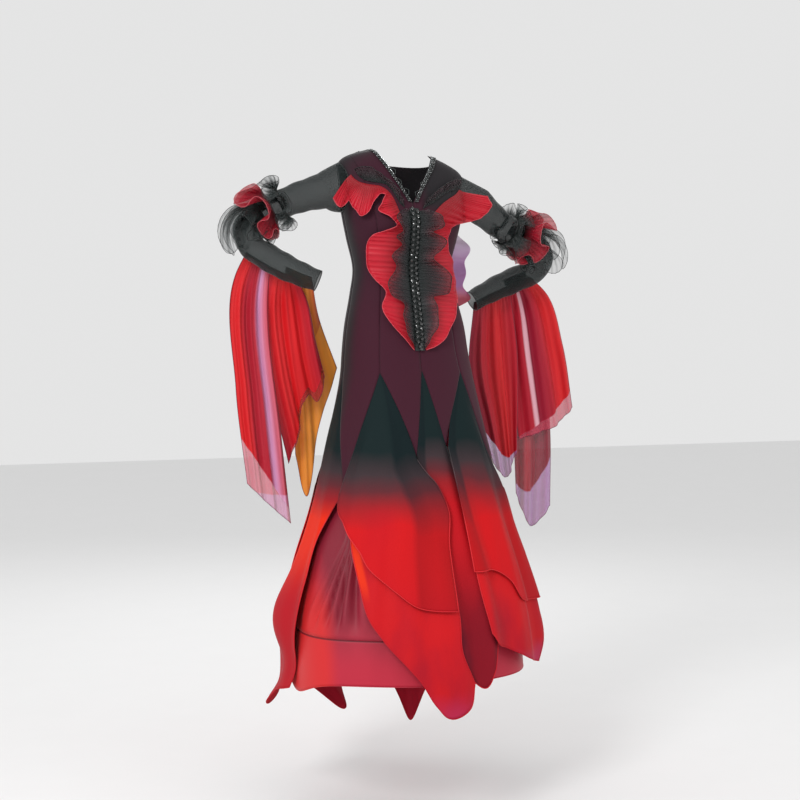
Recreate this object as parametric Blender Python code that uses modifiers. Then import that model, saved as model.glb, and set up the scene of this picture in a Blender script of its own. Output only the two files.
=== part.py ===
"""Ballroom dance dress with a godet skirt, frilled bodice and sleeve floats.

The dress stands as it is worn, hands on the hips, in metres with +Z up. The origin is the
level of the two neck points, the front faces -Y and +X is the wearer's left. Every cut piece
of cloth is one open surface with a Solidify wall, and seams are narrow gaps between pieces.
Angles go round the body from the centre front (0) over the wearer's left side (90).
"""
import math

import bmesh
import bpy
import numpy as np

WALL = 0.0012  # thickness of every cloth wall
SEAM_GAP = 0.0007  # gap between two pieces that are sewn together
SQUARENESS = 0.87  # 1 would make every section a plain ellipse
TILT = 0.085  # how far the right shoulder is carried above the left, per metre of width
NECK_WIDTH = 0.156  # between the two neck points
V_DEPTH = 0.135  # from the neck points down to the bottom of the V
BACK_NECK_DEPTH = 0.030
TRIM_WIDTH = 0.009
PLACKET_WIDTH = 0.024
HEM_BAND_TOP = -1.214
HEM = -1.325
LAYER = 0.007  # distance between two layers of the skirt
RIDGE_GAP = 0.7  # degrees between each panel and the top of the shoulder seam
UNDERSKIRT_EASE = 0.028  # the underskirt hangs this far inside the skirt

RINGS = [  # height, centre, half width, depth to the front, depth to the back
    (0.010, -0.024, 0.070, 0.040, 0.044),
    (0.000, -0.024, 0.078, 0.045, 0.050),
    (-0.010, -0.024, 0.105, 0.052, 0.057),
    (-0.020, -0.024, 0.130, 0.057, 0.063),
    (-0.030, -0.023, 0.150, 0.062, 0.068),
    (-0.042, -0.022, 0.163, 0.067, 0.075),
    (-0.060, -0.022, 0.167, 0.075, 0.085),
    (-0.100, -0.021, 0.165, 0.090, 0.098),
    (-0.140, -0.020, 0.160, 0.103, 0.103),
    (-0.180, -0.019, 0.153, 0.115, 0.102),
    (-0.220, -0.019, 0.144, 0.110, 0.098),
    (-0.300, -0.018, 0.128, 0.092, 0.086),
    (-0.360, -0.015, 0.138, 0.101, 0.100),
    (-0.450, -0.010, 0.157, 0.114, 0.126),
    (-0.507, -0.008, 0.164, 0.120, 0.136),
    (-0.567, -0.004, 0.172, 0.127, 0.142),
    (-0.640, -0.002, 0.186, 0.142, 0.156),
    (-0.740, -0.002, 0.208, 0.167, 0.180),
    (-0.845, -0.002, 0.229, 0.192, 0.203),
    (-0.950, -0.002, 0.254, 0.220, 0.230),
    (-1.050, -0.002, 0.284, 0.250, 0.260),
    (-1.160, -0.002, 0.312, 0.280, 0.290),
    (-1.260, -0.002, 0.325, 0.300, 0.310),
    (-1.360, -0.002, 0.330, 0.310, 0.320),
    (-1.560, -0.002, 0.330, 0.312, 0.322),
]

FOLDS = [  # angle at the hip, angle at the hem, width, depth at -0.9, at -1.2 and at -1.4
    (-28, 5, 8.0, 0.010, 0.016, 0.010),
    (-12, 11, 7.0, -0.009, -0.016, -0.010),
    (4, 19, 7.5, 0.010, 0.017, 0.012),
    (20, 29, 7.0, -0.006, -0.009, -0.006),
    (36, 42, 9.0, 0.008, 0.012, 0.010),
    (48, 56, 7.5, -0.006, -0.010, -0.006),
    (58, 70, 8.5, 0.008, 0.018, 0.020),
    (86, 88, 8.0, -0.006, -0.013, -0.012),
    (104, 106, 9.0, 0.009, 0.022, 0.024),
    (124, 125, 8.0, -0.006, -0.014, -0.014),
    (145, 145, 9.0, 0.009, 0.020, 0.022),
    (164, 165, 8.0, -0.006, -0.014, -0.014),
    (185, 185, 9.5, 0.009, 0.020, 0.022),
    (206, 206, 8.0, -0.006, -0.014, -0.014),
    (226, 226, 9.0, 0.009, 0.020, 0.022),
    (246, 245, 8.0, -0.006, -0.013, -0.012),
    (262, 266, 9.0, 0.006, 0.012, 0.012),
    (282, 284, 8.0, 0.006, 0.010, 0.006),
    (298, 297, 8.0, -0.006, -0.009, -0.006),
    (314, 312, 10.0, 0.007, 0.011, 0.008),
    (330, 332, 9.0, -0.003, -0.005, -0.004),
]

PRINCESS = [  # station, angle at the front, angle at the back, height
    (0.0, 90 - RIDGE_GAP, 90 + RIDGE_GAP, -0.022),
    (0.4, 58, 122, -0.036),
    (0.7, 46, 134, -0.062),
    (1.0, 40, 139, -0.105),
    (1.5, 37, 141, -0.150),
    (2.0, 36, 141, -0.190),
    (3.0, 36, 139, -0.300),
    (4.0, 35, 138, -0.440),
    (5.0, 35, 138, -0.560),
]
ARMHOLE = [  # share of the way down, angle from the side seam, height
    (0.00, RIDGE_GAP, -0.042),
    (0.15, 14, -0.050),
    (0.32, 24, -0.065),
    (0.50, 28, -0.090),
    (0.70, 24, -0.120),
    (0.86, 13, -0.148),
    (1.00, 0, -0.162),
]
ARMPIT_STATION = 1.5
SIDE_HEIGHTS = [(1.5, -0.162), (2.0, -0.200), (3.0, -0.300), (4.0, -0.440), (5.0, -0.580)]
CENTRE_HEIGHTS = [(1.0, -0.135), (2.0, -0.190), (3.0, -0.300), (4.0, -0.440), (5.0, -0.555)]

# A godet is let in between two panels: its apex, then the two points where the panels beside
# it end, each as (angle, height), and how far each seam bows away from a straight line.
GODETS = {
    "front_right": ((-35, -0.560), (-61, -0.860), (-6.5, -0.775), 0.5, 0.8),
    "front_centre": ((0, -0.555), (-6.5, -0.775), (10.5, -0.745), 0.0, 0.2),
    "front_left": ((38, -0.560), (10.5, -0.745), (61, -0.860), 0.6, 0.3),
    "side_left": ((90, -0.580), (61, -0.860), (120, -0.860), 0.3, 0.3),
    "back_left": ((138, -0.560), (120, -0.860), (158, -0.800), 0.3, 0.3),
    "back_centre": ((180, -0.560), (158, -0.800), (202, -0.800), 0.3, 0.3),
    "back_right": ((222, -0.560), (202, -0.800), (240, -0.860), 0.3, 0.3),
    "side_right": ((270, -0.580), (240, -0.860), (299, -0.860), 0.3, 0.3),
}
# Below the panels each godet hangs free: the points of its left edge, of its right edge and
# of its hem, then its layer over the skirt and how far it flares.
FREE_EDGES = {
    "front_right": (
        [(-60, -0.90), (-52, -0.93), (-44, -0.97), (-38, -1.00)],
        [(2, -0.84), (6, -0.90), (5, -0.98), (4, -1.14)],
        [(-38, -1.00), (-34, -1.03), (-27, -1.06), (-19, -1.09), (-8, -1.13), (4, -1.14)],
        2, 0.0),
    "front_centre": (
        [(-8, -0.95), (-7, -1.10), (-4, -1.22), (9, -1.31)],
        [(17, -0.88), (23, -1.02), (24, -1.20), (20, -1.29)],
        [(9, -1.31), (15, -1.335), (20, -1.29)],
        0, 0.0),
    "front_left": (
        [(12, -0.85), (13, -0.93), (14, -1.05)],
        [(70, -0.96), (76, -1.05), (78, -1.15)],
        [(14, -1.05), (28, -1.054), (36, -1.08), (42, -1.13), (56, -1.145), (78, -1.15)],
        2, 0.0),
    "side_left": (
        [(58, -0.95), (58, -1.06), (66, -1.17)],
        [(124, -0.96), (126, -1.10), (122, -1.22)],
        [(66, -1.17), (82, -1.27), (98, -1.34), (112, -1.27), (122, -1.22)],
        0, 0.0),
    "back_left": (
        [(114, -0.95), (111, -1.10), (114, -1.20)],
        [(166, -0.92), (170, -1.08), (166, -1.20)],
        [(114, -1.20), (128, -1.27), (146, -1.35), (156, -1.27), (166, -1.20)],
        2, 0.0),
    "back_centre": (
        [(152, -0.92), (150, -1.08), (156, -1.24)],
        [(208, -0.92), (210, -1.08), (204, -1.24)],
        [(156, -1.24), (168, -1.32), (180, -1.37), (192, -1.32), (204, -1.24)],
        0, 0.0),
    "back_right": (
        [(194, -0.92), (190, -1.08), (194, -1.20)],
        [(246, -0.95), (249, -1.10), (246, -1.20)],
        [(194, -1.20), (204, -1.27), (216, -1.35), (232, -1.27), (246, -1.20)],
        2, 0.0),
    "side_right": (
        [(236, -0.95), (234, -1.10), (238, -1.25)],
        [(292, -0.90), (285, -0.97), (284, -1.08), (281, -1.23), (276, -1.36)],
        [(238, -1.25), (250, -1.36), (259, -1.43), (267, -1.38), (276, -1.36)],
        0, 0.028),
}
# Long petals of chiffon hang between the godets and the underskirt: left edge, right edge,
# hem, layer, and how far the tip is tucked in below the hem of the underskirt.
PETALS = {
    "petal_front_right": (
        [(-50, -0.85), (-45, -0.98), (-38, -1.07), (-32, -1.15), (-24, -1.21)],
        [(0, -0.85), (4, -1.00), (5, -1.16), (5, -1.24), (10, -1.32)],
        [(-24, -1.21), (-9, -1.305), (-3, -1.37), (1, -1.40), (7, -1.38), (10, -1.32)],
        1.1, 0.0),
    "petal_front_left": (
        [(15, -0.84), (15, -1.00), (16, -1.10), (18, -1.20)],
        [(60, -0.87), (70, -1.03), (72, -1.16), (68, -1.24), (62, -1.31)],
        [(18, -1.20), (22, -1.23), (29, -1.245), (42, -1.28), (62, -1.31)],
        1.17, 0.0),
    "petal_back_left": (
        [(142, -0.85), (142, -1.20), (150, -1.42)],
        [(178, -0.85), (180, -1.20), (176, -1.42)],
        [(150, -1.42), (162, -1.53), (176, -1.42)],
        -0.86, 1.0),
    "petal_back_right": (
        [(190, -0.85), (188, -1.20), (194, -1.40)],
        [(228, -0.85), (230, -1.20), (224, -1.38)],
        [(194, -1.40), (208, -1.49), (224, -1.38)],
        -1.0, 1.0),
}

# Frills are listed in millimetres: the seam and the free edge, each as the distance out from
# the centre front line and the height, then how far the free edge stands off.
RED_FRILL_RIGHT = [
    (14, -500, 16, -503, 3), (15, -485, 51, -460, 7), (15, -453, 78, -425, 8),
    (15, -407, 87, -390, 9), (15, -369, 75, -354, 8), (15, -334, 98, -324, 9),
    (15, -296, 111, -289, 11), (16, -256, 115, -248, 11), (23, -222, 107, -219, 10),
    (27, -198, 78, -207, 8), (32, -179, 49, -192, 6), (38, -159, 66, -173, 8),
    (43, -143, 92, -158, 12), (47, -131, 82, -138, 12), (55, -116, 73, -121, 8),
    (66, -105, 83, -118, 8), (80, -98, 98, -132, 12), (93, -97, 114, -159, 16),
    (107, -96, 131, -173, 18), (118, -94, 144, -157, 18), (126, -92, 156, -138, 18),
    (133, -88, 171, -150, 24), (139, -82, 188, -153, 32), (144, -75, 202, -134, 38),
]
RED_FRILL_LEFT = [
    (14, -500, 16, -503, 3), (15, -478, 54, -486, 7), (17, -440, 86, -448, 8),
    (19, -395, 112, -402, 9), (20, -352, 122, -362, 9), (20, -314, 124, -323, 9),
    (20, -281, 116, -279, 9), (20, -250, 92, -244, 9), (22, -221, 91, -210, 9),
    (27, -195, 100, -190, 10), (36, -175, 116, -181, 13), (50, -158, 144, -174, 20),
    (66, -142, 166, -168, 26), (84, -126, 186, -160, 32), (104, -112, 202, -145, 38),
    (126, -98, 214, -127, 42), (140, -84, 206, -100, 42),
]
BLACK_FRILL_RIGHT = [
    (10, -490, 12, -499, 5), (10, -468, 32, -462, 12), (10, -432, 40, -422, 14),
    (10, -397, 37, -385, 14), (10, -369, 67, -362, 19), (10, -342, 68, -329, 20),
    (10, -306, 46, -292, 16), (10, -281, 60, -267, 19), (10, -251, 37, -240, 15),
    (10, -227, 51, -219, 18), (10, -195, 48, -188, 16), (11, -166, 28, -161, 9),
]
BLACK_FRILL_LEFT = [
    (10, -491, 12, -499, 5), (10, -463, 28, -470, 11), (10, -433, 46, -440, 15),
    (10, -402, 50, -400, 16), (10, -372, 43, -369, 15), (10, -347, 84, -359, 20),
    (10, -316, 100, -326, 22), (10, -296, 88, -301, 20), (10, -271, 47, -273, 15),
    (10, -246, 67, -250, 18), (10, -226, 80, -224, 19), (10, -206, 40, -206, 14),
    (10, -186, 65, -189, 18), (11, -164, 76, -156, 19),
]
BLACK_SHOULDER_RIGHT = [
    (24, -148, 26, -136, 5), (34, -138, 34, -116, 8), (43, -123, 43, -96, 8),
    (53, -106, 64, -78, 8), (64, -94, 84, -64, 8), (80, -91, 100, -54, 8),
    (100, -90, 118, -54, 8), (114, -87, 131, -58, 8), (126, -80, 139, -63, 7),
]
BLACK_SHOULDER_LEFT = [
    (24, -148, 30, -130, 5), (38, -138, 48, -112, 8), (56, -128, 66, -96, 8),
    (76, -114, 92, -78, 8), (96, -99, 118, -63, 8), (122, -88, 138, -58, 8),
    (144, -77, 152, -62, 7),
]

# Arms: the middle of each sleeve and its radius, from the upper arm to the cuff.
ARMS = {
    "right": [
        (-0.230, 0.000, -0.101, 0.045), (-0.287, 0.004, -0.117, 0.039),
        (-0.343, 0.010, -0.140, 0.036), (-0.392, 0.020, -0.168, 0.034),
        (-0.422, 0.025, -0.201, 0.033), (-0.410, 0.020, -0.239, 0.033),
        (-0.372, 0.000, -0.269, 0.034), (-0.315, -0.020, -0.302, 0.031),
        (-0.254, -0.045, -0.329, 0.027),
    ],
    "left": [
        (0.188, 0.000, -0.126, 0.046), (0.242, 0.010, -0.166, 0.039),
        (0.302, 0.030, -0.199, 0.036), (0.362, 0.050, -0.224, 0.034),
        (0.400, 0.065, -0.256, 0.033), (0.392, 0.080, -0.293, 0.033),
        (0.342, 0.085, -0.318, 0.034), (0.278, 0.085, -0.345, 0.031),
        (0.207, 0.080, -0.380, 0.027),
    ],
}
SIDE = {"right": -1, "left": 1}
# Elbow frills: place along the sleeve, height of the frill, waves, depth of a wave.
ELBOW_FRILLS = [
    ("black_upper", 0.24, 0.030, 9, 0.009),
    ("red", 0.30, 0.044, 9, 0.010),
    ("black_lower", 0.36, 0.038, 9, 0.009),
]
# Floats: where the top edge is sewn along the sleeve, its distance from it and how far below the
# middle of the sleeve's back it lies in degrees, then the left edge, the right edge and the hem
# below that, the depth of the pleats and their number.
FLOATS = {
    "float_right_outer": (
        "right", 0.58, 0.72, 0.0012, 20,
        [(-0.455, 0.060, -0.300), (-0.455, 0.045, -0.600), (-0.420, 0.035, -0.845)],
        [(-0.365, 0.040, -0.350), (-0.330, 0.030, -0.740), (-0.310, 0.020, -0.950)],
        [(-0.420, 0.035, -0.845), (-0.365, 0.028, -0.900), (-0.310, 0.020, -0.950)],
        0.006, 3),
    "float_right_inner": (
        "right", 0.745, 0.88, 0.0006, 20,
        [(-0.350, 0.050, -0.500), (-0.305, 0.060, -0.800)],
        [(-0.262, 0.028, -0.380), (-0.237, 0.042, -0.480), (-0.210, 0.052, -0.575)],
        [(-0.305, 0.060, -0.800), (-0.275, 0.060, -0.710), (-0.268, 0.060, -0.645),
         (-0.250, 0.057, -0.620), (-0.232, 0.055, -0.640), (-0.210, 0.052, -0.575)],
        0.006, 3),
    "float_right_under": (
        "right", 0.80, 0.95, 0.0009, -12,
        [(-0.315, 0.085, -0.400), (-0.285, 0.095, -0.600), (-0.278, 0.095, -0.780)],
        [(-0.240, 0.082, -0.410), (-0.195, 0.095, -0.555)],
        [(-0.278, 0.095, -0.780), (-0.250, 0.100, -0.890), (-0.222, 0.095, -0.700),
         (-0.195, 0.095, -0.555)],
        0.004, 2),
    "float_left_outer": (
        "left", 0.75, 0.63, 0.0012, 20,
        [(0.345, 0.118, -0.500), (0.361, 0.118, -0.760)],
        [(0.440, 0.117, -0.360), (0.490, 0.118, -0.500), (0.520, 0.118, -0.674)],
        [(0.361, 0.118, -0.760), (0.410, 0.118, -0.745), (0.463, 0.118, -0.728),
         (0.520, 0.118, -0.674)],
        0.006, 3),
    "float_left_middle": (
        "left", 0.76, 0.64, 0.0012, -12,
        [(0.345, 0.140, -0.400), (0.347, 0.142, -0.520), (0.362, 0.140, -0.910)],
        [(0.415, 0.138, -0.380), (0.430, 0.140, -0.480), (0.463, 0.140, -0.728), (0.464, 0.140, -0.948)],
        [(0.362, 0.140, -0.910), (0.410, 0.140, -1.005), (0.464, 0.140, -0.948)],
        0.006, 2),
    "float_left_inner": (
        "left", 0.97, 0.77, 0.0012, 20,
        [(0.214, 0.112, -0.575), (0.252, 0.112, -0.709), (0.282, 0.112, -0.822)],
        [(0.325, 0.118, -0.500), (0.335, 0.118, -0.782)],
        [(0.282, 0.112, -0.822), (0.311, 0.114, -0.862), (0.335, 0.118, -0.782)],
        0.005, 3),
}

COLOURS = {  # base colour and roughness
    "maroon": ((0.070, 0.012, 0.030), 0.70),
    "black_green": ((0.012, 0.026, 0.026), 0.70),
    "red": ((0.620, 0.012, 0.020), 0.65),
    "satin": ((0.330, 0.020, 0.045), 0.35),
    "organza": ((0.520, 0.010, 0.030), 0.55),
    "black": ((0.012, 0.010, 0.012), 0.60),
    "crimson": ((0.420, 0.006, 0.030), 0.60),
    "orange": ((0.850, 0.270, 0.040), 0.60),
    "mauve": ((0.420, 0.180, 0.450), 0.60),
}


class Smooth:
    """Smooth line through rows of numbers, read at any key from the first to the last."""

    def __init__(self, keys, rows):
        self.keys = np.array(keys, float)
        self.rows = np.array(rows, float).reshape(len(keys), -1)
        self.slopes = np.gradient(self.rows, self.keys, axis=0)

    def at(self, key):
        key = min(max(key, self.keys[0]), self.keys[-1])
        last = len(self.keys) - 2
        i = min(int(np.searchsorted(self.keys, key, side="right")) - 1, last)
        gap = self.keys[i + 1] - self.keys[i]
        t = (key - self.keys[i]) / gap
        start = self.rows[i] * (2 * t**3 - 3 * t**2 + 1)
        end = self.rows[i + 1] * (3 * t**2 - 2 * t**3)
        leave = self.slopes[i] * gap * (t**3 - 2 * t**2 + t)
        arrive = self.slopes[i + 1] * gap * (t**3 - t**2)
        return start + leave + end + arrive


def smooth_path(points):
    """Smooth line through points, read at a share of its length."""
    points = np.array(points, float)
    steps = np.linalg.norm(np.diff(points, axis=0), axis=1)
    keys = np.concatenate([[0.0], np.cumsum(steps)])
    return Smooth(keys / keys[-1], points)


def along(points, share):
    """Point at a share of the length of a line with corners."""
    points = np.array(points, float)
    scaled = points.copy()
    if points.shape[1] == 2:
        scaled[:, 0] *= 0.005
    steps = np.linalg.norm(np.diff(scaled, axis=0), axis=1)
    keys = np.concatenate([[0.0], np.cumsum(steps)]) / steps.sum()
    return np.array([np.interp(share, keys, points[:, k]) for k in range(points.shape[1])])


def ramp(value, start, end):
    """Smooth step from 0 at start to 1 at end."""
    t = min(max((value - start) / (end - start), 0.0), 1.0)
    return t * t * (3 - 2 * t)


PROFILE = Smooth([-row[0] for row in RINGS], [row[1:] for row in RINGS])


def posed(point):
    """Carry a point of the level dress to where the lifted shoulder holds it."""
    x, y, z = point
    return (x, y, z - TILT * x * ramp(z, -0.30, -0.05))


def fold_depth(angle, z):
    """How far the folds of the skirt push the cloth out at an angle and a height."""
    depth = 0.0
    turn = ramp(z, -0.60, -1.20)
    for hip, hem, width, high, middle, low in FOLDS:
        place = hip + (hem - hip) * turn
        away = (angle - place + 180.0) % 360.0 - 180.0
        if abs(away) > 3.2 * width:
            continue
        size = np.interp(-z, [0.60, 0.90, 1.20, 1.40], [0.0, high, middle, low])
        depth += size * math.exp(-((away / width) ** 2))
    return depth


def surface(angle, z, off=0.0, folded=True):
    """Point of the dress at an angle and a height, moved out by off."""
    centre, half, front, back = PROFILE.at(-z)
    s = math.sin(math.radians(angle))
    c = math.cos(math.radians(angle))
    if folded:
        off += fold_depth(angle, z)
    x = centre + (half + off) * math.copysign(abs(s) ** SQUARENESS, s)
    depth = (front if c > 0 else back) + off
    y = -depth * math.copysign(abs(c) ** SQUARENESS, c)
    return posed((x, y, z))


def angle_at(out, z):
    """Angle of the front point that lies a given distance out from the centre line."""
    half = PROFILE.at(-z)[1]
    share = min(abs(out) / half, 1.0) ** (1.0 / SQUARENESS)
    return math.copysign(math.degrees(math.asin(share)), out)


def layer_offset(layer, z):
    """Distance of a skirt layer from the skirt's own surface at a height."""
    return layer * LAYER * ramp(z, -0.58, -0.86)


def cloth(name, columns, rows, place, colour, closed=False, wall=WALL):
    """One cut piece: a grid put in place by a function of its two shares, with a wall."""
    mesh = bpy.data.meshes.new(name)
    bm = bmesh.new()
    bmesh.ops.create_grid(bm, x_segments=columns, y_segments=rows, size=0.5)
    for vertex in bm.verts:
        vertex.co = place(vertex.co.x + 0.5, 0.5 - vertex.co.y)
    if closed:
        bmesh.ops.remove_doubles(bm, verts=bm.verts, dist=0.00005)
    bmesh.ops.recalc_face_normals(bm, faces=bm.faces)
    bm.to_mesh(mesh)
    bm.free()
    mesh.shade_smooth()
    mesh.materials.append(MATERIALS[colour])
    piece = bpy.data.objects.new(name, mesh)
    COLLECTION.objects.link(piece)
    solid = piece.modifiers.new("wall", "SOLIDIFY")
    solid.thickness = wall
    solid.offset = 0.0
    return piece


def neck_front(share):
    """Front neck edge from a neck point down to the bottom of the V."""
    z = -V_DEPTH * share
    return min(angle_at(0.5 * NECK_WIDTH * (1.0 - share), z), 90.0 - RIDGE_GAP), z


def neck_back(share):
    """Back neck edge from a neck point round to the centre back."""
    angle = 90.0 + RIDGE_GAP + (90.0 - RIDGE_GAP) * share
    return angle, -BACK_NECK_DEPTH * math.sin(share * math.pi / 2)


def godet_seam(apex, tail, bow, share):
    """Seam beside a godet from its apex to the point of the panel."""
    share_out = share + bow * share * (1.0 - share) * 0.8
    angle = apex[0] + (tail[0] - apex[0]) * share_out
    return angle, apex[1] + (tail[1] - apex[1]) * share


def sewn_point(left, right, u, off=0.0):
    """Point of a row between two seams, which keeps half a seam gap at each end."""
    width = np.linalg.norm(np.array(surface(*right)) - np.array(surface(*left)))
    end = min(SEAM_GAP / 2 / max(width, 0.0001), 2.0)
    share = end + (1.0 - 2.0 * end) * u
    angle, z = left + (right - left) * share
    return np.array(surface(angle, z, off))


TAIL_ROWS = 4


def stepped_seam(godet, right, share):
    """The same seam with the corners that the rows of both neighbours share."""
    apex, left_tail, right_tail, left_bow, right_bow = GODETS[godet]
    tail, bow = (right_tail, right_bow) if right else (left_tail, left_bow)
    low = min(int(share * TAIL_ROWS), TAIL_ROWS - 1)
    a = np.array(godet_seam(apex, tail, bow, low / TAIL_ROWS))
    b = np.array(godet_seam(apex, tail, bow, (low + 1) / TAIL_ROWS))
    return a + (b - a) * (share * TAIL_ROWS - low)


def column(rows, index, station):
    """Read one column of a table whose first column is the station."""
    return float(np.interp(station, [row[0] for row in rows], [row[index] for row in rows]))


def centre_seam(station, back):
    """Neck edge and centre seam, as an angle on the +X half and a height."""
    if station < 1.0:
        return neck_back(station) if back else neck_front(station)
    z = column(CENTRE_HEIGHTS, 1, station)
    if back:
        z += (V_DEPTH - BACK_NECK_DEPTH) * max(0.0, 2.0 - station)
    return (180.0 if back else 0.0), z


def princess_seam(station, back):
    """Seam over the bust or the shoulder blade."""
    angle = column(PRINCESS, 2 if back else 1, station)
    return angle, column(PRINCESS, 3, station)


def side_seam(station, back):
    """Armhole and side seam."""
    if station >= ARMPIT_STATION:
        return 90.0, column(SIDE_HEIGHTS, 1, station)
    away = column(ARMHOLE, 1, station / ARMPIT_STATION)
    z = column(ARMHOLE, 2, station / ARMPIT_STATION)
    return (90.0 + away if back else 90.0 - away), z


STATION_ROWS = [0.0, 0.25, 0.5, 0.75, 1.0, 1.25, 1.5, 2.0, 2.4, 2.7, 3.0, 3.3, 3.7, 4.3, 5.0]


def panel(name, seams, back, mirrored, godets):
    """Bodice and hip panel between two seams, ending in a point between two godets."""
    stations = STATION_ROWS + [5.0 + (k + 1) / TAIL_ROWS for k in range(TAIL_ROWS)]
    rows = len(stations) - 1

    def edge(which, station):
        if station > 5.0:
            return stepped_seam(godets[which], which == 0, station - 5.0)
        angle, z = seams[which](station, back)
        if station > 4.0:
            apex = GODETS[godets[which]][0]
            angle = angle % 360.0 if not mirrored else (-angle) % 360.0
            near = (apex[0] - angle + 180.0) % 360.0 - 180.0
            share = station - 4.0
            return angle + near * share, z + (apex[1] - z) * share
        return (-angle if mirrored else angle), z

    def row_point(u, station):
        left = np.array(edge(0, station), float)
        right = np.array(edge(1, station), float)
        right[0] = left[0] + (right[0] - left[0]) % 360.0
        return sewn_point(left, right, u)

    def place(u, v):
        station = stations[int(round(v * rows))]
        if station < 6.0:
            return row_point(u, station)
        before = row_point(u, 6.0 - 1.0 / TAIL_ROWS)
        return before + (row_point(u, 6.0) - before) * 0.72

    colour = "maroon"
    return cloth(name, 5, rows, place, colour)


def godet(name):
    """Godet with its free lower part, which ends in its own hem."""
    apex, left_tail, right_tail, left_bow, right_bow = GODETS[name]
    left_edge, right_edge, hem, layer, flare = FREE_EDGES[name]
    lower_rows = 6
    rows = TAIL_ROWS + lower_rows

    def unwrap(points):
        return [((a - apex[0] + 180.0) % 360.0 - 180.0 + apex[0], z) for a, z in points]

    left_path = unwrap([left_tail] + left_edge)
    right_path = unwrap([right_tail] + right_edge)
    hem_path = unwrap(hem)

    def sewn_row(u, share):
        left = np.array(unwrap([stepped_seam(name, False, share)])[0])
        right = np.array(unwrap([stepped_seam(name, True, share)])[0])
        z = left[1] + (right[1] - left[1]) * u
        return sewn_point(left, right, u, layer_offset(layer, z))

    def place(u, v):
        row = int(round(v * rows))
        if row == 0:
            above = sewn_row(0.5, 0.0)
            return above + (sewn_row(u, 1.0 / TAIL_ROWS) - above) * 0.24
        if row <= TAIL_ROWS:
            return sewn_row(u, row / TAIL_ROWS)
        share = (row - TAIL_ROWS) / lower_rows
        left = along(left_path, share)
        right = along(right_path, share)
        straight = left_edge_end + (right_edge_end - left_edge_end) * u
        drop = along(hem_path, u) - straight
        angle, z = left + (right - left) * u + drop * share ** 1.6
        off = layer_offset(layer, z)
        middle = ramp(u, 0.25, 0.60) * ramp(1.0 - u, 0.0, 0.35)
        off += flare * math.exp(-(((z + 1.18) / 0.09) ** 2)) * middle
        return surface(angle, z, off)

    left_edge_end = np.array(left_path[-1])
    right_edge_end = np.array(right_path[-1])
    colour = "red" if name != "front_centre" else "crimson"
    return cloth("godet_" + name, 9 if layer else 7, rows, place, colour)


def petal(name):
    """Long petal under the godets."""
    left_path, right_path, hem, layer, tuck = PETALS[name]
    rows = 7

    def place(u, v):
        left = along(left_path, v)
        right = along(right_path, v)
        straight = np.array(left_path[-1]) * (1 - u) + np.array(right_path[-1]) * u
        drop = along(hem, u) - straight
        angle, z = left + (right - left) * u + drop * v ** 2
        off = layer_offset(layer, z) - tuck * max(0.0, HEM - 0.075 - z)
        return surface(angle, z, off)

    return cloth(name, 8, rows, place, "crimson")


def underskirt(name, top, bottom, rows):
    """One ring of the satin underskirt."""
    def place(u, v):
        angle = -90.0 + 360.0 * u
        away = (u * 360.0 - 8.0 + 180.0) % 360.0 - 180.0
        dip = 0.040 * math.exp(-((away / 18.0) ** 2)) * (bottom == HEM) * v
        z = top + (bottom - top) * v - dip
        off = -0.0041 - (UNDERSKIRT_EASE - 0.0041) * ramp(z, -0.60, -1.00)
        return surface(angle, z, off, folded=False)

    return cloth(name, 40, rows, place, "satin", closed=True)


def trim(name, edge, start, end, columns, lift=0.0):
    """Narrow band that lies on the bodice along a neck edge."""
    def place(u, v):
        share = start + (end - start) * u
        angle, z, outward = edge(share)
        across = outward * (0.0012 + (TRIM_WIDTH - 0.0012) * v)
        return surface(angle + across[0], z + across[1], 0.0021 + lift * abs(2 * u - 1) ** 4)

    return cloth(name, columns, 1, place, "black")


def outward_of(edge, share, princess):
    """Step per metre, as (angle, height), from a neck edge toward the princess seam."""
    a = np.array(edge(share), float)
    b = np.array(princess, float)
    distance = np.linalg.norm(np.array(surface(*b)) - np.array(surface(*a)))
    return a[0], a[1], (b - a) / max(distance, 0.02)


def frill(name, table, side, columns, rows, seam_off, curl, waves, depth, colour):
    """Gathered frill on the front, from its seam to its free edge."""
    data = np.array(table, float) / 1000.0
    keys = np.linspace(0.0, 1.0, len(data))
    lines = Smooth(keys, data)

    def place(u, v):
        seam_out, seam_z, edge_out, edge_z, lift = lines.at(u)
        out = seam_out + (edge_out - seam_out) * v
        z = seam_z + (edge_z - seam_z) * v
        half = PROFILE.at(-z)[1]
        reach = min(out, 0.93 * half)
        wave = depth * math.sin(2 * math.pi * waves * u) * ramp(min(u, 1.0 - u), 0.0, 0.04)
        x, y, height = surface(angle_at(side * reach, z), z, seam_off)
        return (x + side * (out - reach), y - (lift + wave) * v ** curl, height)

    return cloth(name, columns, rows, place, colour, wall=0.0010)


SLEEVE_SHARES = [0.0, 0.14, 0.24, 0.30, 0.36, 0.43, 0.50, 0.57, 0.64, 0.72, 0.80, 0.90, 1.0]


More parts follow.
